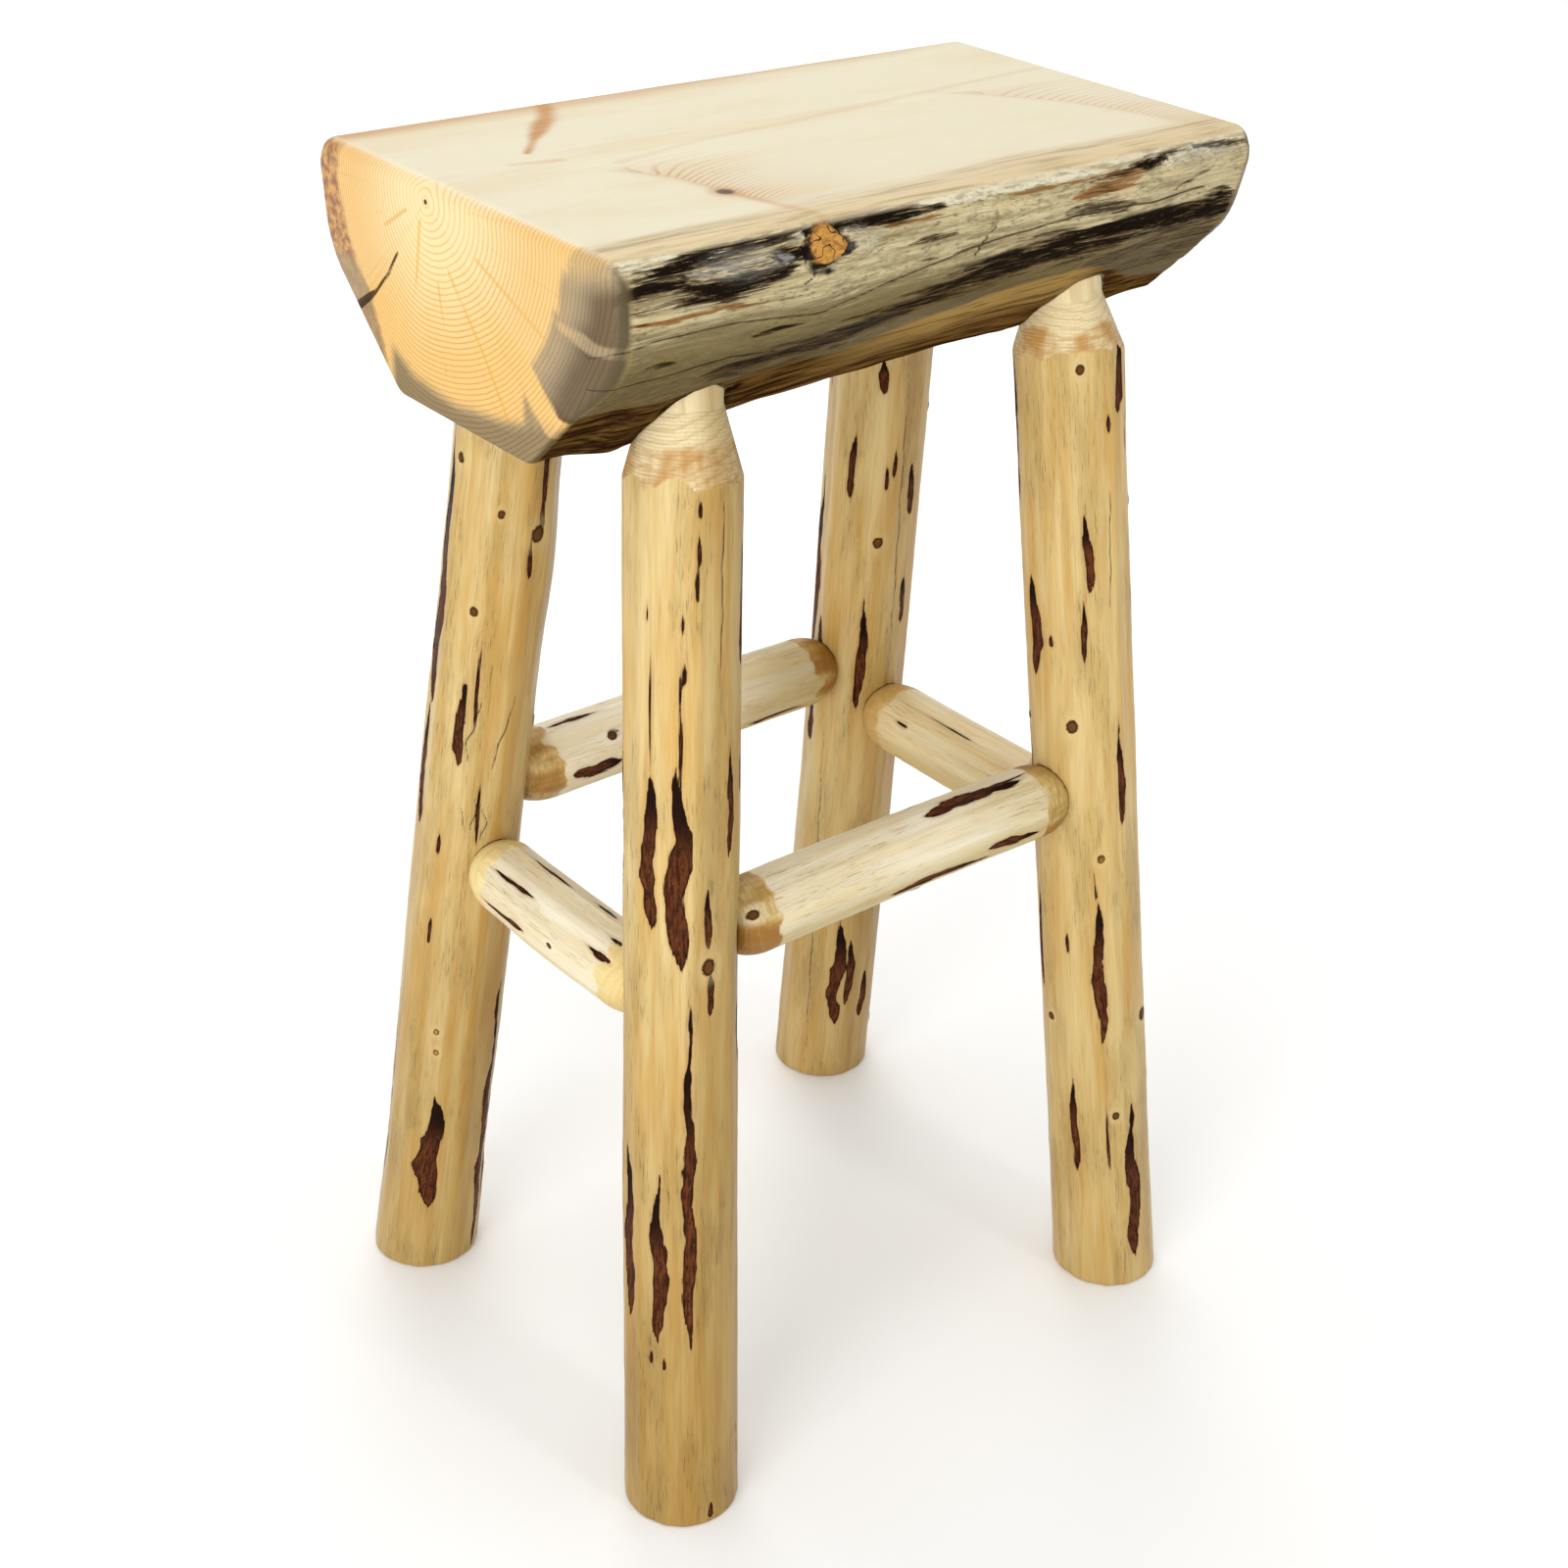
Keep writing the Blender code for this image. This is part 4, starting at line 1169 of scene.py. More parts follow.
    def live_relief(self, marks):
        """How far the live edges stand out, in mm, before branches and the axe."""
        relief = SEAT_RELIEF["wave"] * self.figure(60, 16, 3.0, 21)
        relief = relief + SEAT_RELIEF["streak"] * self.streaky + SEAT_RELIEF["blotch"] * self.blotchy
        relief = relief - SEAT_RELIEF["dark"] * marks["dark"]
        relief = relief - SEAT_RELIEF["check"] * smooth(marks["check"], 1.6, 0.2)
        for side, along, depth, half_length, half_height, out in LUMPS:
            sideways, below = (self.along_mm - along) / half_length, (self.down_mm - depth) / half_height
            lump = out * np.exp(-(sideways ** 2 + below ** 2))
            relief = relief + np.where(self.side == side, lump, 0)
        return relief

    def add_stubs(self, relief):
        """Branch stubs in the relief, and the distance to the nearest of them in stub radii."""
        spot = stacked(self.along_mm, self.across_mm, self.down_mm)
        knot = np.full(self.x.shape, FAR_KNOT)
        for side, along, depth, radius in STUBS:
            offset = spot - self.nearest(side, along, depth)
            bearing = np.arctan2(offset[..., 2], offset[..., 0])
            uneven = 1 + 0.04 * np.sin(3 * bearing + 1) + 0.03 * np.sin(5 * bearing)
            away = np.linalg.norm(offset, axis=-1) / (radius * uneven)
            knot = np.minimum(knot, away)
            groove = smooth(np.abs(away - 1.15), 0.34, 0.0)
            depth_share = STUB_GROOVE - STUB_GROOVE_LEAN * np.cos(bearing)
            relief = relief + radius * (STUB_RISE * smooth(away, 1.0, 0.85) - depth_share * groove)
        return relief, knot

    def add_hewing(self, relief, dark, legs):
        """Axe marks in the relief, and torn wood round the mouths of the mortises, darkened partly with
        painted shadow.
        """
        spots = stacked(self.along_mm / 26, self.across_mm / 9, self.down_mm / 9)
        chips = SEAT_RELIEF["chip"] * fractal(spots, SEEDS["seat"] + 41, 2) - SEAT_RELIEF["axe"]
        relief = relief * self.live * (1 - self.hewn) + self.hewn * chips
        dark = np.maximum(dark, 0.5 * self.hewn * (self.side < 0) * smooth(self.along_mm, *DARK_HEWN_ALONG))
        for leg in legs:
            gap = self.mouth_gap(leg)
            torn_and_shaded = smooth(gap + 6 * self.blotchy, *TORN_REACH) * self.hewn
            beside = smooth(self.along_mm - leg.origin[0] * MM, *MOUTH_SIDES)
            swell = lerp(*MOUTH_SWELL[leg.name], beside)
            relief = relief + swell * smooth(gap, *SWELL_FADE) * smooth(self.down_mm, *SWELL_DEPTHS)
            relief = relief - SEAT_RELIEF["torn_and_shaded"] * torn_and_shaded * (0.6 + 0.6 * self.blotchy)
            # Partly painted shadow: dark round the mouth where the leg enters the seat
            dark = np.maximum(dark, MOUTH_TORN_AND_SHADOW[leg.name] * torn_and_shaded * smooth(self.blotchy, -0.5, 0.3))
        return relief, dark

    def mouth_gap(self, leg):
        """The distance from the seat's surface to the mouth of a leg's mortise, in mm."""
        offset = stacked(self.x, self.across, SEAT_HEIGHT - self.down) - leg.origin
        axis = np.array(leg.axis)
        along = offset @ axis
        away = np.linalg.norm(offset - along[..., None] * axis, axis=-1)
        return (away - leg.turned_radius(along)) * MM

    def body(self, relief):
        """Points of the surface, raised by a relief in mm."""
        spots = stacked(self.along_mm / 50, self.across_mm / 30, 0.0)
        relief = relief + SEAT_RELIEF["plane"] * noise(spots, SEEDS["seat"] + 51)
        relief = relief * (1 - 0.75 * self.end) / MM
        turn = np.roll(self.section, -1, 1) - np.roll(self.section, 1, 1)
        normal = unit(stacked(-turn[..., 1], turn[..., 0]))
        from_core = stacked(self.across, self.down - CORE_DEPTH)
        normal = normal * np.where((normal * from_core).sum(-1, keepdims=True) < 0, -1, 1)
        across, down = self.across + normal[..., 0] * relief, self.down + normal[..., 1] * relief
        across, down = self.place(across, down)
        return stacked(self.x, across, SEAT_HEIGHT - down)

    def strip(self):
        """Where the hewn sides are pale under the live edge."""
        strip = smooth(self.down_mm + 6 * self.streaky, self.hip_line + 34.0, self.hip_line + 8.0)
        return strip * smooth(self.along_mm, *STRIP_STARTS) * smooth(self.along_mm, *STRIP_ENDS)

    def build(self, legs, material):
        marks = self.live_marks()
        relief, knot = self.add_stubs(self.live_relief(marks))
        relief, marks["dark"] = self.add_hewing(relief, marks["dark"], legs)
        values = {
            "live": self.live, "hewn": self.hewn, "lip": smooth(self.down_mm, *LIP_DEPTHS),
            "strip": self.strip(), "shade": np.interp(self.down_mm, SHADE_DEPTHS, SHADE_AMOUNTS),
            "gloss": marks["gloss"], "dark": marks["dark"], "rust": marks["rust"]}
        hubs = [np.array([sign * SEAT_LENGTH / 2, PITH_ACROSS / MM, SEAT_HEIGHT - PITH_DEPTH / MM])
                for sign in (-1, 1)]
        points, faces, uvs = tube(self.body(relief), *hubs, SEAT_CAP_RINGS)

        def over(rows, hub=None):
            return capped(rows, SEAT_CAP_RINGS, hub, hub)

        attributes = {key: over(value) for key, value in values.items()}
        attributes["end"] = over(self.end, 1.0)
        attributes["knot"] = over(knot, FAR_KNOT)
        attributes["check"] = over(marks["check"], FAR_SEAT_MARK)
        attributes.update(InnerWood(points, attributes["end"]).values())
        top = 1 - over(smooth(self.down_mm, 1.0, 4.0))
        away = np.hypot(points[:, 0] * MM - TOP_KNOT[0], points[:, 1] * MM - TOP_KNOT[1]) / TOP_KNOT[2]
        attributes["top_knot"] = np.where(top * (1 - attributes["end"]) > 0.5, away, FAR_KNOT)
        piece = make_piece("look_seat_half_log", points, faces, uvs, attributes, material)
        defaults = {key: (0.0, 0.0, 0.0) if value.ndim == 2 else 0.0 for key, value in attributes.items()}
        defaults.update(hewn=1.0, knot=FAR_KNOT, top_knot=FAR_KNOT)
        defaults.update(dict.fromkeys(("check", "crack", "ray"), FAR_SEAT_MARK))
        bored(piece, [make_cutter(leg, leg.mortise(), defaults, material) for leg in legs])
        return piece


class InnerWood:
    """The seat's wood at points of its surface, by where they lie in the log. Distances are in mm."""

    def __init__(self, points, end):
        self.points, self.end = points, end
        self.along, self.across = points[:, 0] * MM, points[:, 1] * MM
        self.down = (SEAT_HEIGHT - points[:, 2]) * MM
        self.on_top = smooth(self.down, 8.0, 2.0) * (1 - end)
        self.at_left = smooth(self.along, 10, -10)
        self.butt = (end > 0.5) & (self.along < 0)
        self.ragged = 2.5 * self.figure(60, 14, 7, 2)

    def figure(self, along, across, seed, octaves):
        """Noise with its sizes along the log and across it."""
        spots = stacked(self.along / along, self.across / across, self.down / across)
        return fractal(spots, SEEDS["seat"] + 100 + seed, octaves)

    def from_pith(self):
        """Distances sideways and down from the pith, which wanders along the log."""
        from_butt = self.along + SEAT_LENGTH * MM / 2
        pith_across = PITH_ACROSS + 6 * np.sin(from_butt / 90)
        pith_depth = PITH_DEPTH + 4 * np.sin(from_butt / 120)
        return self.across - pith_across, self.down - pith_depth

    def streaks(self):
        """Streaks on the top, and the warm band along its back edge."""
        streak = np.zeros_like(self.along)
        for path, halves, strength in TOP_STREAKS:
            away = segment_distance(self.along, self.across, path, halves) + 0.2 * self.ragged
            streak = np.maximum(streak, strength * smooth(away, 1.6, 0.2) * self.on_top)
        band = smooth(self.across + 2 * self.ragged, *BACK_BAND_ACROSS)
        band = band * smooth(self.along, *BACK_BAND_ALONG) * (1 - self.end)
        return np.maximum(streak, BACK_BAND * band)

    def folds(self):
        """How strongly the grain of the top folds back beside each branch."""
        for fold_across, fold_along, strength, starts in FOLDS:
            past = (self.along - np.interp(self.across, fold_across, fold_along)) * 0.8
            fold = strength * np.exp(-np.abs(past) / np.where(past > 0, 26, 2)) * self.on_top
            yield fold * smooth(self.across, *starts) * smooth(self.across, *FOLD_ENDS)

    def front_stain(self):
        """Stained sapwood on the front side of the left end, darker towards the live edge."""
        past = np.interp(self.down, FRONT_STAIN_DEPTHS, FRONT_STAIN_EDGE) - self.across
        stain = smooth(past - 0.4 * self.ragged, -1.5, 2.0) * lerp(0.5, 1.0, smooth(self.down, 2, 22))
        stain = stain * (1 + smooth(past - self.ragged, 8, 40))
        band = smooth(segment_distance(self.across, self.down, STAIN_BAND) + self.ragged, 4.5, 1.5)
        return stain * (1 - 0.4 * band)

    def left_stain(self, rim):
        """Stain on the left end: at the front, below, and low on the rim at the back, with painted shade at
        the wedge's lower end.
        """
        past = self.down - np.interp(self.across, BELOW_STAIN_ACROSS, BELOW_STAIN_EDGE)
        below = 1.3 * smooth(past + 0.4 * self.ragged, -3.0, 6.0) * smooth(self.across, 66, 58)
        wedge = smooth(segment_distance(self.across, self.down, STAIN_WEDGE) + self.ragged, 9.5, 7.0)
        # Painted shade: low down, where the bottom edge turns from the light, the clean wedge gives way to
        # stain
        wedge = wedge * lerp(1, 0.55, smooth(self.down, 86, 100))
        low_rim = 0.8 * rim * smooth(self.down, 54, 60)
        return np.maximum(np.maximum(self.front_stain(), below) * (1 - wedge), low_rim)

    def stain(self, reach, rim):
        """Stain on both ends and along the front of the top."""
        waves = 10 * np.sin(np.arctan2(self.down, self.across) * 3)
        right = smooth(reach + 3 * self.ragged + waves, 104, 112)
        edge = np.interp(self.along, *TOP_STAIN_EDGE) + 2 * self.ragged
        top = smooth(self.across, edge + 8, edge - 6) * smooth(self.down, 6, 2)
        return lerp(top, lerp(right, self.left_stain(rim), self.at_left), smooth(self.end, 0.0, 0.3))

    def cracks(self):
        """Distances to the open check and to the nearest thin radial crack of the left end."""
        width = 0.5 + 1.3 * smooth(self.down, 64, 82) * (1 + 0.5 * self.ragged)
        check = segment_distance(self.across, self.down, END_CHECK) - width
        rays = [segment_distance(self.across, self.down, path) for path in END_RAYS]
        return [np.where(self.butt, away, FAR_SEAT_MARK) for away in (check, np.min(rays, axis=0))]

    def values(self):
        """The attributes that colour the wood."""
        sideways, below = self.from_pith()
        lean = 1 + RING_LEAN * np.tanh(sideways / RING_LEAN_REACH)
        reach = np.hypot(sideways * lean, RING_DOWN * below * (1 - below / RING_DEEP))
        folded = np.zeros_like(self.along)
        for fold in self.folds():
            reach = reach - FOLD_REACH * fold
            folded = np.maximum(folded, fold)
        reach = reach + 1.6 * self.figure(160, 38, 0, 3) * smooth(reach, 2.0, 20.0)
        past_rim = self.across - np.interp(self.down, BACK_RIM_DEPTHS, BACK_RIM_EDGE)
        rim = smooth(past_rim + self.ragged, -1.5, 2.0)
        angle = np.arctan2(sideways, below)
        drift = [3.0 * self.figure(70, 40, seed, 2) / MM for seed in (17, 19)]
        crack, ray = self.cracks()
        return {
            "growth": reach / RING_WIDTH + RING_CROWDING * reach ** 2, "folded": folded,
            "stain": self.stain(reach, rim), "streak": self.streaks(), "crack": crack, "ray": ray,
            "rim": rim * self.end * lerp(0.5, 1.0, self.at_left),
            "spoke": stacked(np.cos(angle), np.sin(angle), reach / 400),
            "grain": stacked(self.points[:, 1] + drift[0], self.points[:, 2] + drift[1], self.points[:, 0])}


# Materials

def tone(colour, lift=LIGHT_LIFT):
    """Linear RGBA of a surface that looks like an 8-bit sRGB colour under a light that lifts it."""
    parts = [channel / 255 for channel in colour]
    linear = [c / 12.92 if c <= 0.04045 else ((c + 0.055) / 1.055) ** 2.4 for c in parts]
    return tuple(c / lift for c in linear) + (1.0,)


class Surface:
    """A material in the making, with short names for the nodes it needs."""

    def __init__(self, name, figure):
        self.material = bpy.data.materials.new(name)
        self.material.use_nodes = True
        self.nodes = self.material.node_tree.nodes
        self.links = self.material.node_tree.links
        self.shader = self.nodes["Principled BSDF"]
        self.grain = self.vector("grain")
        self.values = {key: self.noise(self.grain, *sizes) for key, sizes in figure.items()}

    def __getitem__(self, key):
        """A noise of the wood's figure, or else the number that each point of a piece has by that name."""
        if key not in self.values:
            self.values[key] = self.node("Attribute", attribute_name=key).outputs["Fac"]
        return self.values[key]

    def node(self, kind, **settings):
        made = self.nodes.new("ShaderNode" + kind)
        for key, value in settings.items():
            setattr(made, key, value)
        return made

    def feed(self, socket, value):
        if isinstance(value, bpy.types.NodeSocket):
            self.links.new(value, socket)
        else:
            socket.default_value = value

    def vector(self, name):
        return self.node("Attribute", attribute_name=name).outputs["Vector"]

    def math(self, operation, first, second=0.0):
        made = self.node("Math", operation=operation)
        self.feed(made.inputs[0], first)
        self.feed(made.inputs[1], second)
        return made.outputs[0]

    def times(self, first, second):
        return self.math("MULTIPLY", first, second)

    def plus(self, first, second):
        return self.math("ADD", first, second)

    def rest(self, share):
        """What a share leaves of 1."""
        return self.math("SUBTRACT", 1.0, share)

    def centred(self, value):
        """A noise about 0."""
        return self.plus(value, -0.5)

    def weighted(self, *terms):
        """The sum of values, each times its weight."""
        total = self.times(*terms[0])
        for value, weight in terms[1:]:
            total = self.plus(total, self.times(value, weight))
        return total

    def step(self, value, low, high):
        """0 up to low and 1 from high on, or the reverse, soft between."""
        made = self.node("MapRange", interpolation_type="SMOOTHSTEP")
        self.feed(made.inputs["Value"], value)
        made.inputs["From Min"].default_value = low
        made.inputs["From Max"].default_value = high
        return made.outputs["Result"]

    def noise(self, vector, across, along, detail=3.0, roughness=0.55):
        """Noise drawn out along the grain, with its sizes across and along it in mm."""
        scaled = self.node("VectorMath", operation="MULTIPLY")
        self.feed(scaled.inputs[0], vector)
        scaled.inputs[1].default_value = (MM / across, MM / across, MM / along)
        made = self.node("TexNoise")
        self.feed(made.inputs["Vector"], scaled.outputs[0])
        made.inputs["Scale"].default_value = 1.0
        made.inputs["Detail"].default_value = detail
        made.inputs["Roughness"].default_value = roughness
        return made.outputs[0]

    def rings(self, growth, shift):
        """Thin latewood lines, one for each whole step of growth."""
        part = self.math("FRACT", self.plus(growth, shift))
        return self.times(self.step(part, 0.54, 0.90), self.step(part, 1.0, 0.94))

    def mix(self, share, first, second):
        made = self.node("Mix", data_type="RGBA")
        self.feed(made.inputs[0], share)
        self.feed(made.inputs[6], tone(first) if isinstance(first, tuple) else first)
        self.feed(made.inputs[7], tone(second) if isinstance(second, tuple) else second)
        return made.outputs[2]

    def layers(self, colour, *coats):
        """A colour under further ones.

        Each coat has its colour, the value that brings it on, where that starts and is full, and its share.
        """
        for coat, value, start, full, share in coats:
            colour = self.mix(self.times(self.step(value, start, full), share), colour, coat)
        return colour

    def tint(self, share, colour, factors):
        """A colour multiplied by a factor for each of its channels."""
        made = self.node("Mix", data_type="RGBA", blend_type="MULTIPLY")
        self.feed(made.inputs[0], share)
        self.feed(made.inputs[6], colour)
        made.inputs[7].default_value = factors + (1.0,)
        return made.outputs[2]

    def finish(self, colour, roughness, height, clear, gloss=0.0):
        """Wires the shader. clear is the share of varnish and sheen that shows, and gloss adds varnish."""
        bump = self.node("Bump")
        bump.inputs["Strength"].default_value = 1.0
        bump.inputs["Distance"].default_value = BUMP_DEPTH
        self.feed(bump.inputs["Height"], height)
        wiring = {
            "Base Color": colour, "Roughness": roughness, "Normal": bump.outputs[0],
            "Specular IOR Level": self.times(clear, SHEEN),
            "Coat Weight": self.plus(self.times(clear, VARNISH), gloss), "Coat Normal": bump.outputs[0],
            "Coat Roughness": VARNISH_ROUGHNESS, "Coat IOR": VARNISH_IOR}
        for key, value in wiring.items():
            self.feed(self.shader.inputs[key], value)
        return self.material


def peeled_wood(look, tones):
    """Pale and honey bands with grain lines and grey hairs."""
    wood = look.layers(
        tones["pale"],
        (tones["honey"], look["streak"], 0.28, 0.74, 1.0),
        (tones["grey"], look["cloud"], 0.44, 0.70, 0.55),
        (tones["line"], look["vein"], 0.48, 0.76, 0.30),
        (tones["line"], look["fibre"], 0.50, 0.74, 0.32))
    greying = look.times(look.step(look["wisp"], 0.54, 0.69), look.step(look["cloud"], 0.42, 0.60))
    return look.mix(look.times(greying, 0.70), wood, tones["wisp"])


def turned_wood(look, tones):
    """A turned end: pale where it is fresh, with worn bands and growth rings."""
    late = look.rings(look.times(look["growth"], 1 / POLE_RING_WIDTH), look.times(look["streak"], 0.8))
    worn = look.times(look.step(look["chatter"], 0.44, 0.62), look.step(look["fresh"], 0.9, 0.1))
    wood = look.layers(tones["worn"], (tones["turned"], look["cloud"], 0.42, 0.66, 1.0))
    wood = look.mix(look["fresh"], wood, tones["turned"])
    wood = look.mix(look.times(worn, 0.45), wood, tones["worn"])
    wood = look.mix(look.times(late, 0.25), wood, tones["line"])
    return look.layers(wood, (tones["worn"], look["fibre"], 0.50, 0.74, 0.3))


def inner_bark(look, inside):
    """Red-brown bark with pale flakes that are partly a painted highlight, dark towards its tip and where a
    point is little inside it.
    """
    tip = look.plus(look["tip"], look.times(look["mottle"], 0.8))
    return look.layers(
        BARK_BROWN,
        (BARK_RED, look["mottle"], 0.40, 0.60, 1.0),
        (BARK_FLAKE_AND_GLINT, look["flake"], 0.60, 0.72, 0.5),
        (BARK_RIM, inside, 1.3, 0.1, 1.0),
        (BARK_RIM, tip, 0.45, 0.95, 1.0))


def peeled_pine(name, tones):
    """Drawknifed pine with scraps of inner bark, knots, checks and turned ends."""
    look = Surface(name, PINE_FIGURE)
    wood = look.mix(look["turned"], peeled_wood(look, tones), turned_wood(look, tones))
    # Painted shade low on the legs, on their sides from the light and under the rungs, with darker and
    # warmer wood
    wood = look.tint(look["low"], wood, FOOT_TINT)
    inside = look.plus(look["bark"], look.times(look.centred(look["fibre"]), 2.2))
    on_bark = look.step(inside, -0.20, 0.25)
    wood = look.layers(wood, (BARK_HALO, inside, -2.6, 0.0, 0.35))
    colour = look.mix(on_bark, wood, inner_bark(look, inside))

    knot = look.plus(look["knot"], look.times(look.centred(look["gnarl"]), 0.5))
    heart = look.layers(
        KNOT_TAN,
        (KNOT_BROWN, look["cloud"], 0.38, 0.48, 1.0),
        (KNOT_DARK, knot, 0.52, 0.88, 1.0))
    colour = look.layers(
        colour,
        (tones["pale"], knot, 3.0, 1.4, 0.25),
        (heart, knot, 1.15, 0.85, 1.0),
        (CHECK_DARK, look["check"], 0.75, 0.25, 0.9))

    roughness = look.plus(POLE_ROUGHNESS, look.weighted((look["fibre"], 0.16), (look["turned"], 0.10)))
    height = look.weighted(
        (look["fibre"], 0.35), (look["vein"], 0.5), (look["streak"], 0.5),
        (look.times(look["turned"], look["chatter"]), 0.9),
        (look.times(on_bark, look.plus(look["mottle"], look["flake"])), 1.6))
    dull = look.math("MAXIMUM", on_bark, look.step(knot, 1.25, 0.95))
    return look.finish(colour, roughness, height, look.rest(look.times(dull, 0.9)))


def planed_top(look, late):
    """Pale wood with faint rings, a stained band along the front, folded grain and streaks."""
    stain, band = look["stain"], look["band"]
    top = look.layers(TOP_PALE, (TOP_WARM, look["cloud"], 0.40, 0.66, 0.7))
    top = look.mix(look.times(late, 0.12), top, TOP_LINE)
    top = look.layers(top, (TOP_LINE, look["fibre"], 0.52, 0.72, 0.16))
    top = look.mix(look.times(stain, look.plus(0.45, look.times(band, 0.60))), top, TOP_BAND)
    top = look.mix(look.times(look.times(stain, look.step(band, 0.44, 0.70)), 0.55), top, LIVE_OLIVE)
    top = look.mix(look.times(look["folded"], look.plus(0.30, look.times(late, 0.58))), top, TOP_STREAK)
    return look.mix(look.times(look["streak"], look.plus(0.65, look.times(band, 0.6))), top, TOP_STREAK)


def dark_marks_and_shade(look):
    """How dark the live edge is, from dark wood and from painted shade and shadow, frayed along the grain
    where it is dark.
    """
    frayed = look.times(look["dark"], 1.7)
    dark_and_shade = look.plus(look["dark"], look.times(look.centred(look["rag"]), look.plus(0.30, frayed)))
    dark_and_shade = look.plus(dark_and_shade, look.times(look.centred(look["fibre"]), look.plus(0.25, frayed)))
    return look.plus(dark_and_shade, look.times(look.centred(look["speck"]), look.times(look["dark"], 0.7)))


def live_side(look, dark_and_shade):
    """Peeled sapwood that darkens downwards, partly with painted shade, with flecks, mould, rust, dark
    patches that are partly painted shade, a pale lip that is partly a painted highlight, and silvery glossy
    wood that is partly a painted highlight.
    """
    shade = look.plus(look["shade"], look.times(look.centred(look["band"]), 1.8))
    # Partly painted shade: the side darkens downwards through olive to smoke grey
    peel = look.layers(
        LIVE_CREAM,
        (LIVE_OLIVE, shade, 0.10, 1.0, 1.0),
        (LIVE_SMOKE_AND_SHADE, shade, 0.9, 2.0, 0.8),
        (LIVE_OLIVE, look["blot"], 0.54, 0.72, 0.45))
    pale_hair = look.times(look.step(look["fibre"], 0.44, 0.30), look.step(shade, 1.1, 0.3))
    peel = look.mix(look.times(pale_hair, 0.5), peel, LIVE_LIP)
    # The pale lip along the top edge, partly a painted highlight
    peel = look.mix(look.times(look["lip"], look.step(look["band"], 0.66, 0.42)), peel, LIVE_LIP)
    peel = look.layers(peel, (LIVE_SMOKE_AND_SHADE, look["fibre"], 0.56, 0.72, 0.55))
    flecks = look.times(look.step(look["speck"], 0.50, 0.68), look.step(look["blot"], 0.42, 0.58))
    peel = look.mix(look.times(flecks, 0.75), peel, LIVE_SMOKE_AND_SHADE)
    mould = look.times(look.step(look["mould"], 0.46, 0.64), look.step(look["cloud"], 0.36, 0.52))
    peel = look.mix(look.times(mould, 0.55), peel, LIVE_OLIVE)
    rust = look.plus(look.times(look["rust"], 1.1), look.times(look.centred(look["rag"]), 2.0))
    rusty = look.times(look.step(rust, 0.25, 0.70), look.step(look["rust"], 0.05, 0.3))
    peel = look.mix(rusty, peel, LIVE_RUST)
    peel = look.layers(
        peel,
        (HEWN_BROWN, rust, 0.85, 1.25, 1.0),
        (LIVE_UMBER, dark_and_shade, 0.20, 0.60, 0.9),
        (LIVE_BLACK, dark_and_shade, 0.46, 0.92, 1.0))
    # Silvery wood where it is glossy, partly a painted highlight
    shine = look.times(look["gloss"], look.step(look["rag"], 0.47, 0.60))
    return look.mix(look.times(shine, 0.7), peel, SILVER_AND_PAINTED_GLINT)


def hewn_side(look):
    """Brown axe-hewn wood darkened with painted shade of the underside, paler in a strip under the live
    edge, and torn round the mortises, where it is darkened partly with painted shadow.
    """
    hewing = look.layers(HEWN_TAN, (HEWN_BROWN, look["band"], 0.38, 0.62, 1.0))
    hewing = look.mix(look.times(look["strip"], look.step(look["band"], 0.82, 0.46)), hewing, HEWN_EDGE)
    # Dark torn wood, round the mouths partly painted shadow
    torn_and_shaded = look.plus(look["dark"], look.times(look.centred(look["blot"]), 0.8))
    return look.layers(hewing, (BARK_RIM, torn_and_shaded, 0.35, 0.7, 1.0))


def sawn_end(look, late):
    """Growth rings round a dark pith, radial cracks, a brown rim and grey stained sapwood."""
    growth, stain = look["growth"], look["stain"]
    end = look.layers(END_PALE, (END_WARM, growth, 3.0, 27.0, 1.0))
    ring_depth = look.plus(0.16, look.times(look.step(growth, 1.0, 20.0), 0.30))
    end = look.mix(look.times(late, look.plus(ring_depth, look.times(look["cloud"], 0.35))), end, END_LINE)
    rays = look.noise(look.vector("spoke"), 26, 900, 3)
    end = look.layers(end, (END_LINE, rays, 0.60, 0.70, 0.25), (END_RAY, look["ray"], 1.6, 0.5, 0.6))
    patch = look.layers(RIM_ROSE, (RIM_BROWN, look["blot"], 0.44, 0.56, 1.0))
    patchy = look.plus(0.35, look.times(look.step(look["blot"], 0.62, 0.40), 0.6))
    end = look.mix(look.times(look["rim"], patchy), end, patch)
    stained = look.mix(look.times(late, 0.45), STAIN_GREY, STAIN_LINE)
    stained = look.tint(look.step(stain, 0.9, 1.9), stained, RIM_TINT)
    end = look.mix(look.times(stain, look.plus(0.66, look.times(look["cloud"], 0.5))), end, stained)
    return look.layers(
        end,
        (KNOT_DARK, growth, 0.42, 0.24, 1.0),
        (CHECK_DARK, look["crack"], 0.9, 0.2, 0.9))


def branch_stub(look):
    """The broken orange end of a branch, split and dark at its rim."""
    split = look.math("ABSOLUTE", look.centred(look.noise(look.grain, 9.0, 9.0, 1.0)))
    stub = look.layers(
        STUB_ORANGE,
        (KNOT_TAN, look["speck"], 0.42, 0.66, 1.0),
        (KNOT_BROWN, look.noise(look.grain, 4.0, 5.0), 0.48, 0.62, 0.6),
        (KNOT_DARK, split, 0.024, 0.008, 1.0))
    rim = look.times(look.step(look["knot"], 0.84, 1.0), look.step(look["blot"], 0.62, 0.44))
    return look.mix(rim, stub, LIVE_BLACK)


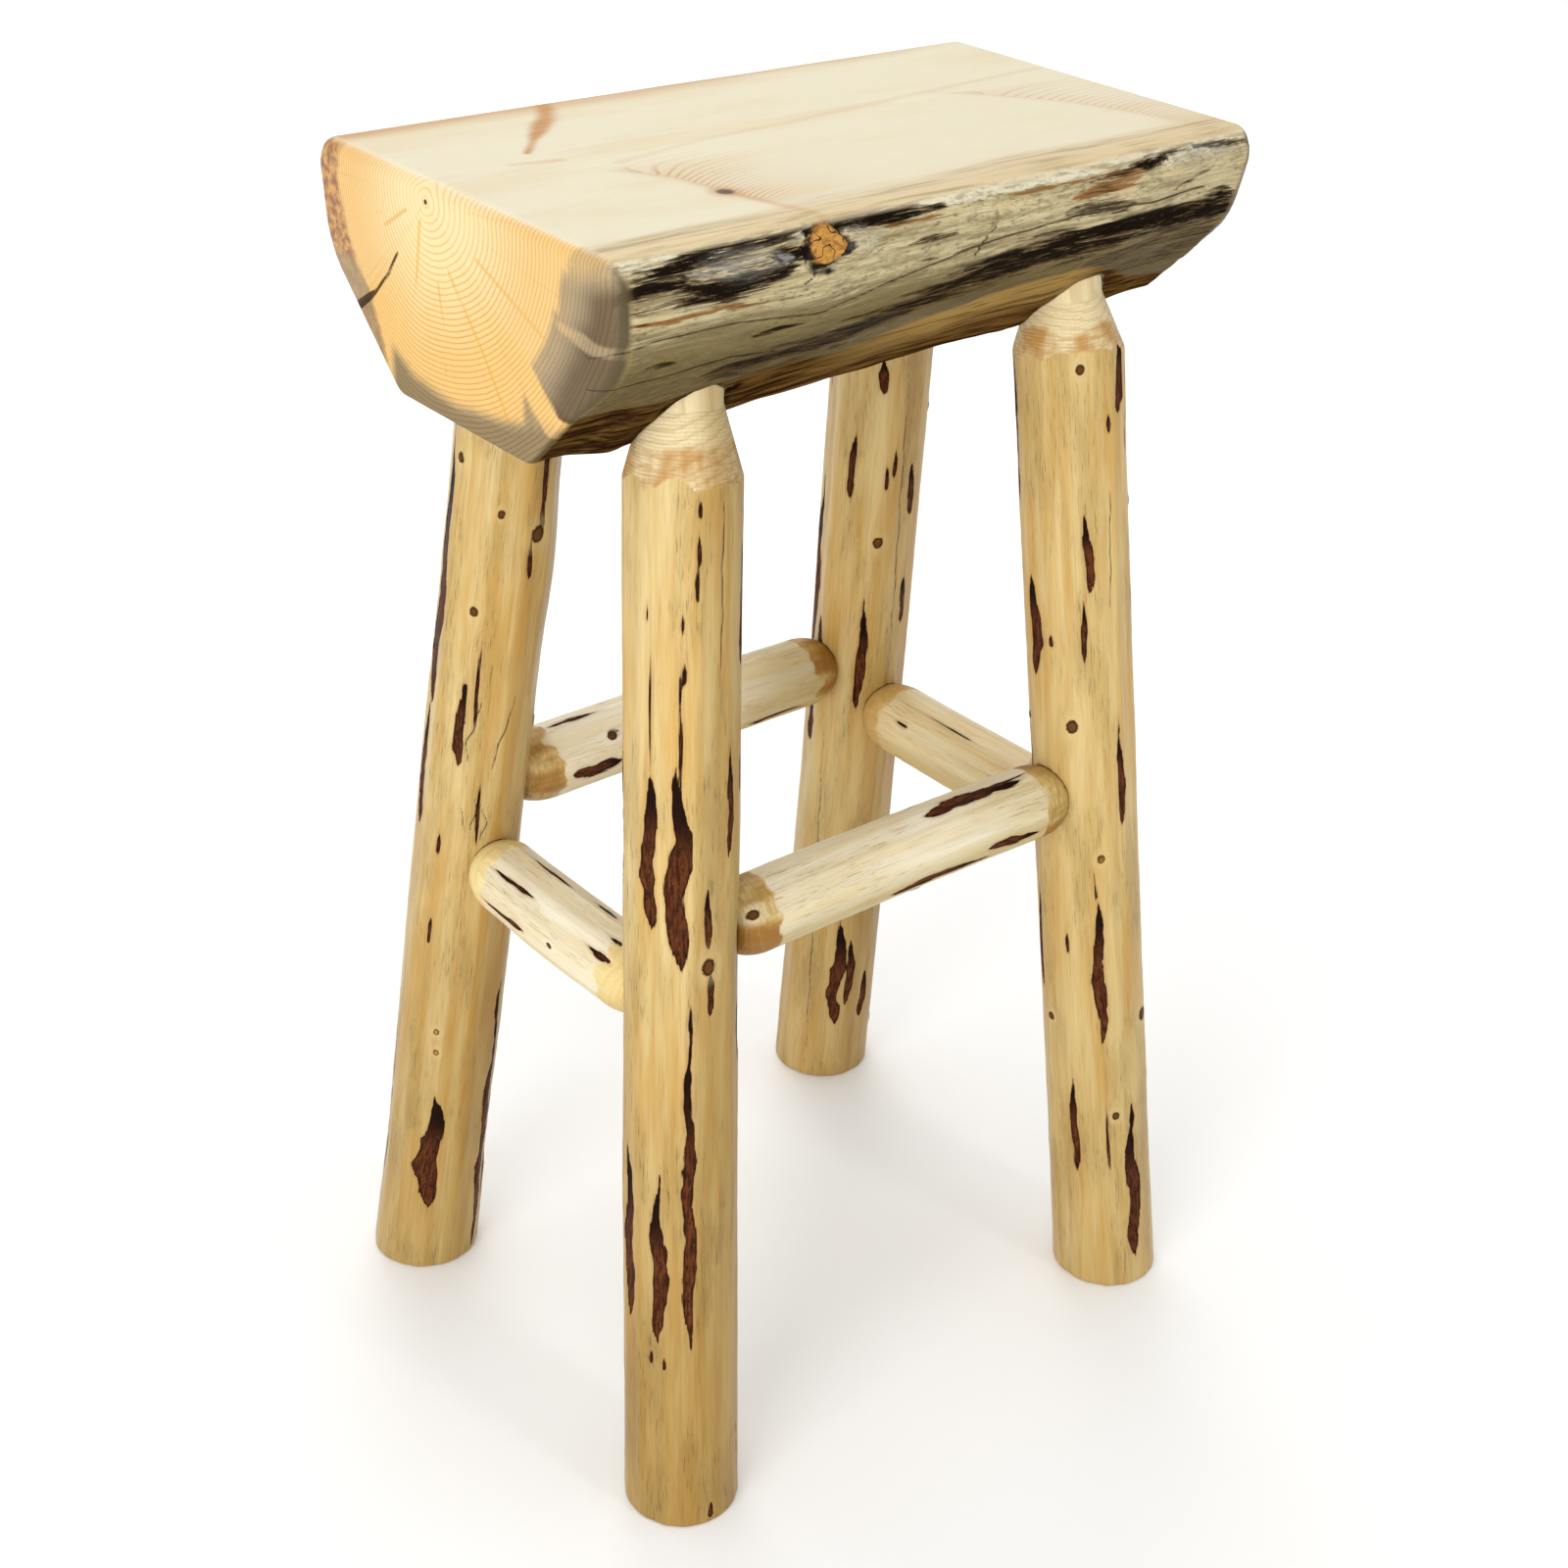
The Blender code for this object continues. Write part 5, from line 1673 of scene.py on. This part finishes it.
def half_log(name):
    """The seat's wood: planed top, sawn ends, peeled and stained sides, hewn underside."""
    look = Surface(name, LOG_FIGURE)
    end, live, hewn, knot = (look[key] for key in ("end", "live", "hewn", "knot"))
    side = look.times(live, look.rest(end))
    late = look.rings(look["growth"], look.times(look["band"], 0.30))
    dark_and_shade = dark_marks_and_shade(look)
    colour = look.mix(live, planed_top(look, late), live_side(look, dark_and_shade))
    colour = look.mix(hewn, colour, hewn_side(look))
    colour = look.mix(end, colour, sawn_end(look, late))
    smoke = look.times(look.times(end, look.rest(end)), look.times(look["stain"], live))
    colour = look.mix(look.times(smoke, 2.6), colour, LIVE_SMOKE_AND_SHADE)
    halo = look.plus(knot, look.times(look.centred(look["blot"]), 2.2))
    colour = look.mix(look.times(side, look.step(halo, 1.50, 1.05)), colour, LIVE_BLACK)
    colour = look.layers(
        colour,
        (branch_stub(look), knot, 1.14, 1.02, 1.0),
        (TOP_STREAK, look["top_knot"], 2.6, 0.8, 0.55),
        (KNOT_DARK, look["top_knot"], 1.30, 0.60, 0.9),
        (CHECK_DARK, look["check"], 0.85, 0.25, 0.9))

    roughness = look.plus(SEAT_ROUGHNESS, look.weighted((look["fibre"], 0.16), (side, -0.10)))
    height = look.weighted(
        (look["fibre"], 0.25), (late, 0.12), (look.times(side, look["band"]), 2.2),
        (look.times(side, look["rag"]), 1.2), (look.times(side, look["speck"]), 0.9),
        (look.times(hewn, look["blot"]), 1.2))
    dull = look.math("MAXIMUM", look.step(look["shade"], 0.5, 1.3), look.step(dark_and_shade, 0.3, 0.8))
    dull = look.times(side, look.plus(0.6, look.times(dull, 0.38)))
    clear = look.rest(look.math("MAXIMUM", hewn, dull))
    return look.finish(colour, roughness, height, clear, look["gloss"])


def floor_material():
    material = bpy.data.materials.new("studio_floor")
    material.use_nodes = True
    shader = material.node_tree.nodes["Principled BSDF"]
    shader.inputs["Base Color"].default_value = tone(FLOOR_TONE, 1.0)
    shader.inputs["Roughness"].default_value = FLOOR_ROUGHNESS
    return material


# Stage

def add_camera():
    yaw, pitch, roll = (math.radians(a) for a in (CAMERA_YAW_DEG, CAMERA_PITCH_DEG, CAMERA_ROLL_DEG))
    ahead = Vector((math.sin(yaw) * math.cos(pitch), math.cos(yaw) * math.cos(pitch), -math.sin(pitch)))
    level = Vector((math.cos(yaw), -math.sin(yaw), 0))
    upward = level.cross(ahead)
    right = math.cos(roll) * level + math.sin(roll) * upward
    up = math.cos(roll) * upward - math.sin(roll) * level
    camera = bpy.data.objects.new("camera", bpy.data.cameras.new("camera"))
    camera.data.lens = CAMERA_LENS_MM
    camera.data.sensor_width = SENSOR_MM
    turn = Matrix((right, up, -ahead)).transposed()
    camera.matrix_world = Matrix.Translation(CAMERA_AT) @ turn.to_4x4()
    bpy.context.scene.collection.objects.link(camera)
    bpy.context.scene.camera = camera


def add_floor():
    mesh = bpy.data.meshes.new("floor")
    reach = FLOOR_SIZE / 2
    corners = [(-reach, -reach, 0), (reach, -reach, 0), (reach, reach, 0), (-reach, reach, 0)]
    mesh.from_pydata(corners, [], [(0, 1, 2, 3)])
    mesh.materials.append(floor_material())
    floor = bpy.data.objects.new("floor", mesh)
    bpy.context.scene.collection.objects.link(floor)


def add_light(name, at, aim, size, power):
    """A square soft box turned to a point."""
    lamp = bpy.data.lights.new(name, "AREA")
    lamp.size = size
    lamp.energy = power
    box = bpy.data.objects.new(name, lamp)
    box.location = at
    box.rotation_euler = (Vector(aim) - Vector(at)).to_track_quat("-Z", "Y").to_euler()
    bpy.context.scene.collection.objects.link(box)


def light_studio():
    world = bpy.data.worlds.new("studio")
    world.use_nodes = True
    world.node_tree.nodes["Background"].inputs["Color"].default_value = (1, 1, 1, 1)
    world.node_tree.nodes["Background"].inputs["Strength"].default_value = SKY_STRENGTH
    bpy.context.scene.world = world
    bpy.context.scene.view_settings.view_transform = "Standard"
    for name, settings in LIGHTS.items():
        add_light(name, **settings)


# The stool

def dress(piece, node):
    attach(piece, "root")
    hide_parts(node)


def main():
    add_camera()
    add_floor()
    light_studio()
    leg_wood = peeled_pine("peeled_pine_leg", LEG_TONES)
    rung_wood = peeled_pine("peeled_pine_rung", RUNG_TONES)
    tan_rung_wood = peeled_pine("peeled_pine_tan_rung", TAN_RUNG_TONES)
    legs = {side + "_" + end: Leg(side, end) for side in SIDE_SIGNS for end in END_SIGNS}
    long_height = LEFT_RUNG_HEIGHT + RIGHT_RUNG_LIFT + RUNG_STEP
    rungs = [Rung(side, legs[side + "_left"], legs[side + "_right"], long_height) for side in SIDE_SIGNS]
    rungs.append(Rung("left", legs["front_left"], legs["back_left"], LEFT_RUNG_HEIGHT))
    rungs.append(Rung("right", legs["front_right"], legs["back_right"], LEFT_RUNG_HEIGHT + RIGHT_RUNG_LIFT))
    seat = Seat().build(legs.values(), half_log("half_log_pine"))
    dress(seat, "seat_half_log")
    plain = {"bark": -FAR_BARK, "tip": 0.0, "knot": FAR_KNOT, "check": FAR_POLE_CHECK, "growth": 0.0,
             "turned": 1.0, "low": 0.0, "fresh": 0.0, "grain": (0.0, 0.0, 0.0)}
    for leg in legs.values():
        piece = leg.build(LEG_COLUMNS, leg_wood)
        cutters = []
        for rung in rungs:
            for sign, joined in zip((-1, 1), rung.legs):
                if joined == leg.name:
                    cutters.append(make_cutter(rung, rung.mortise(sign), plain, leg_wood))
        bored(piece, cutters)
        dress(piece, "leg_" + leg.name)
    for rung in rungs:
        wood = tan_rung_wood if rung.name == "right" else rung_wood
        dress(rung.build(RUNG_COLUMNS, wood), "rung_" + rung.name)


main()
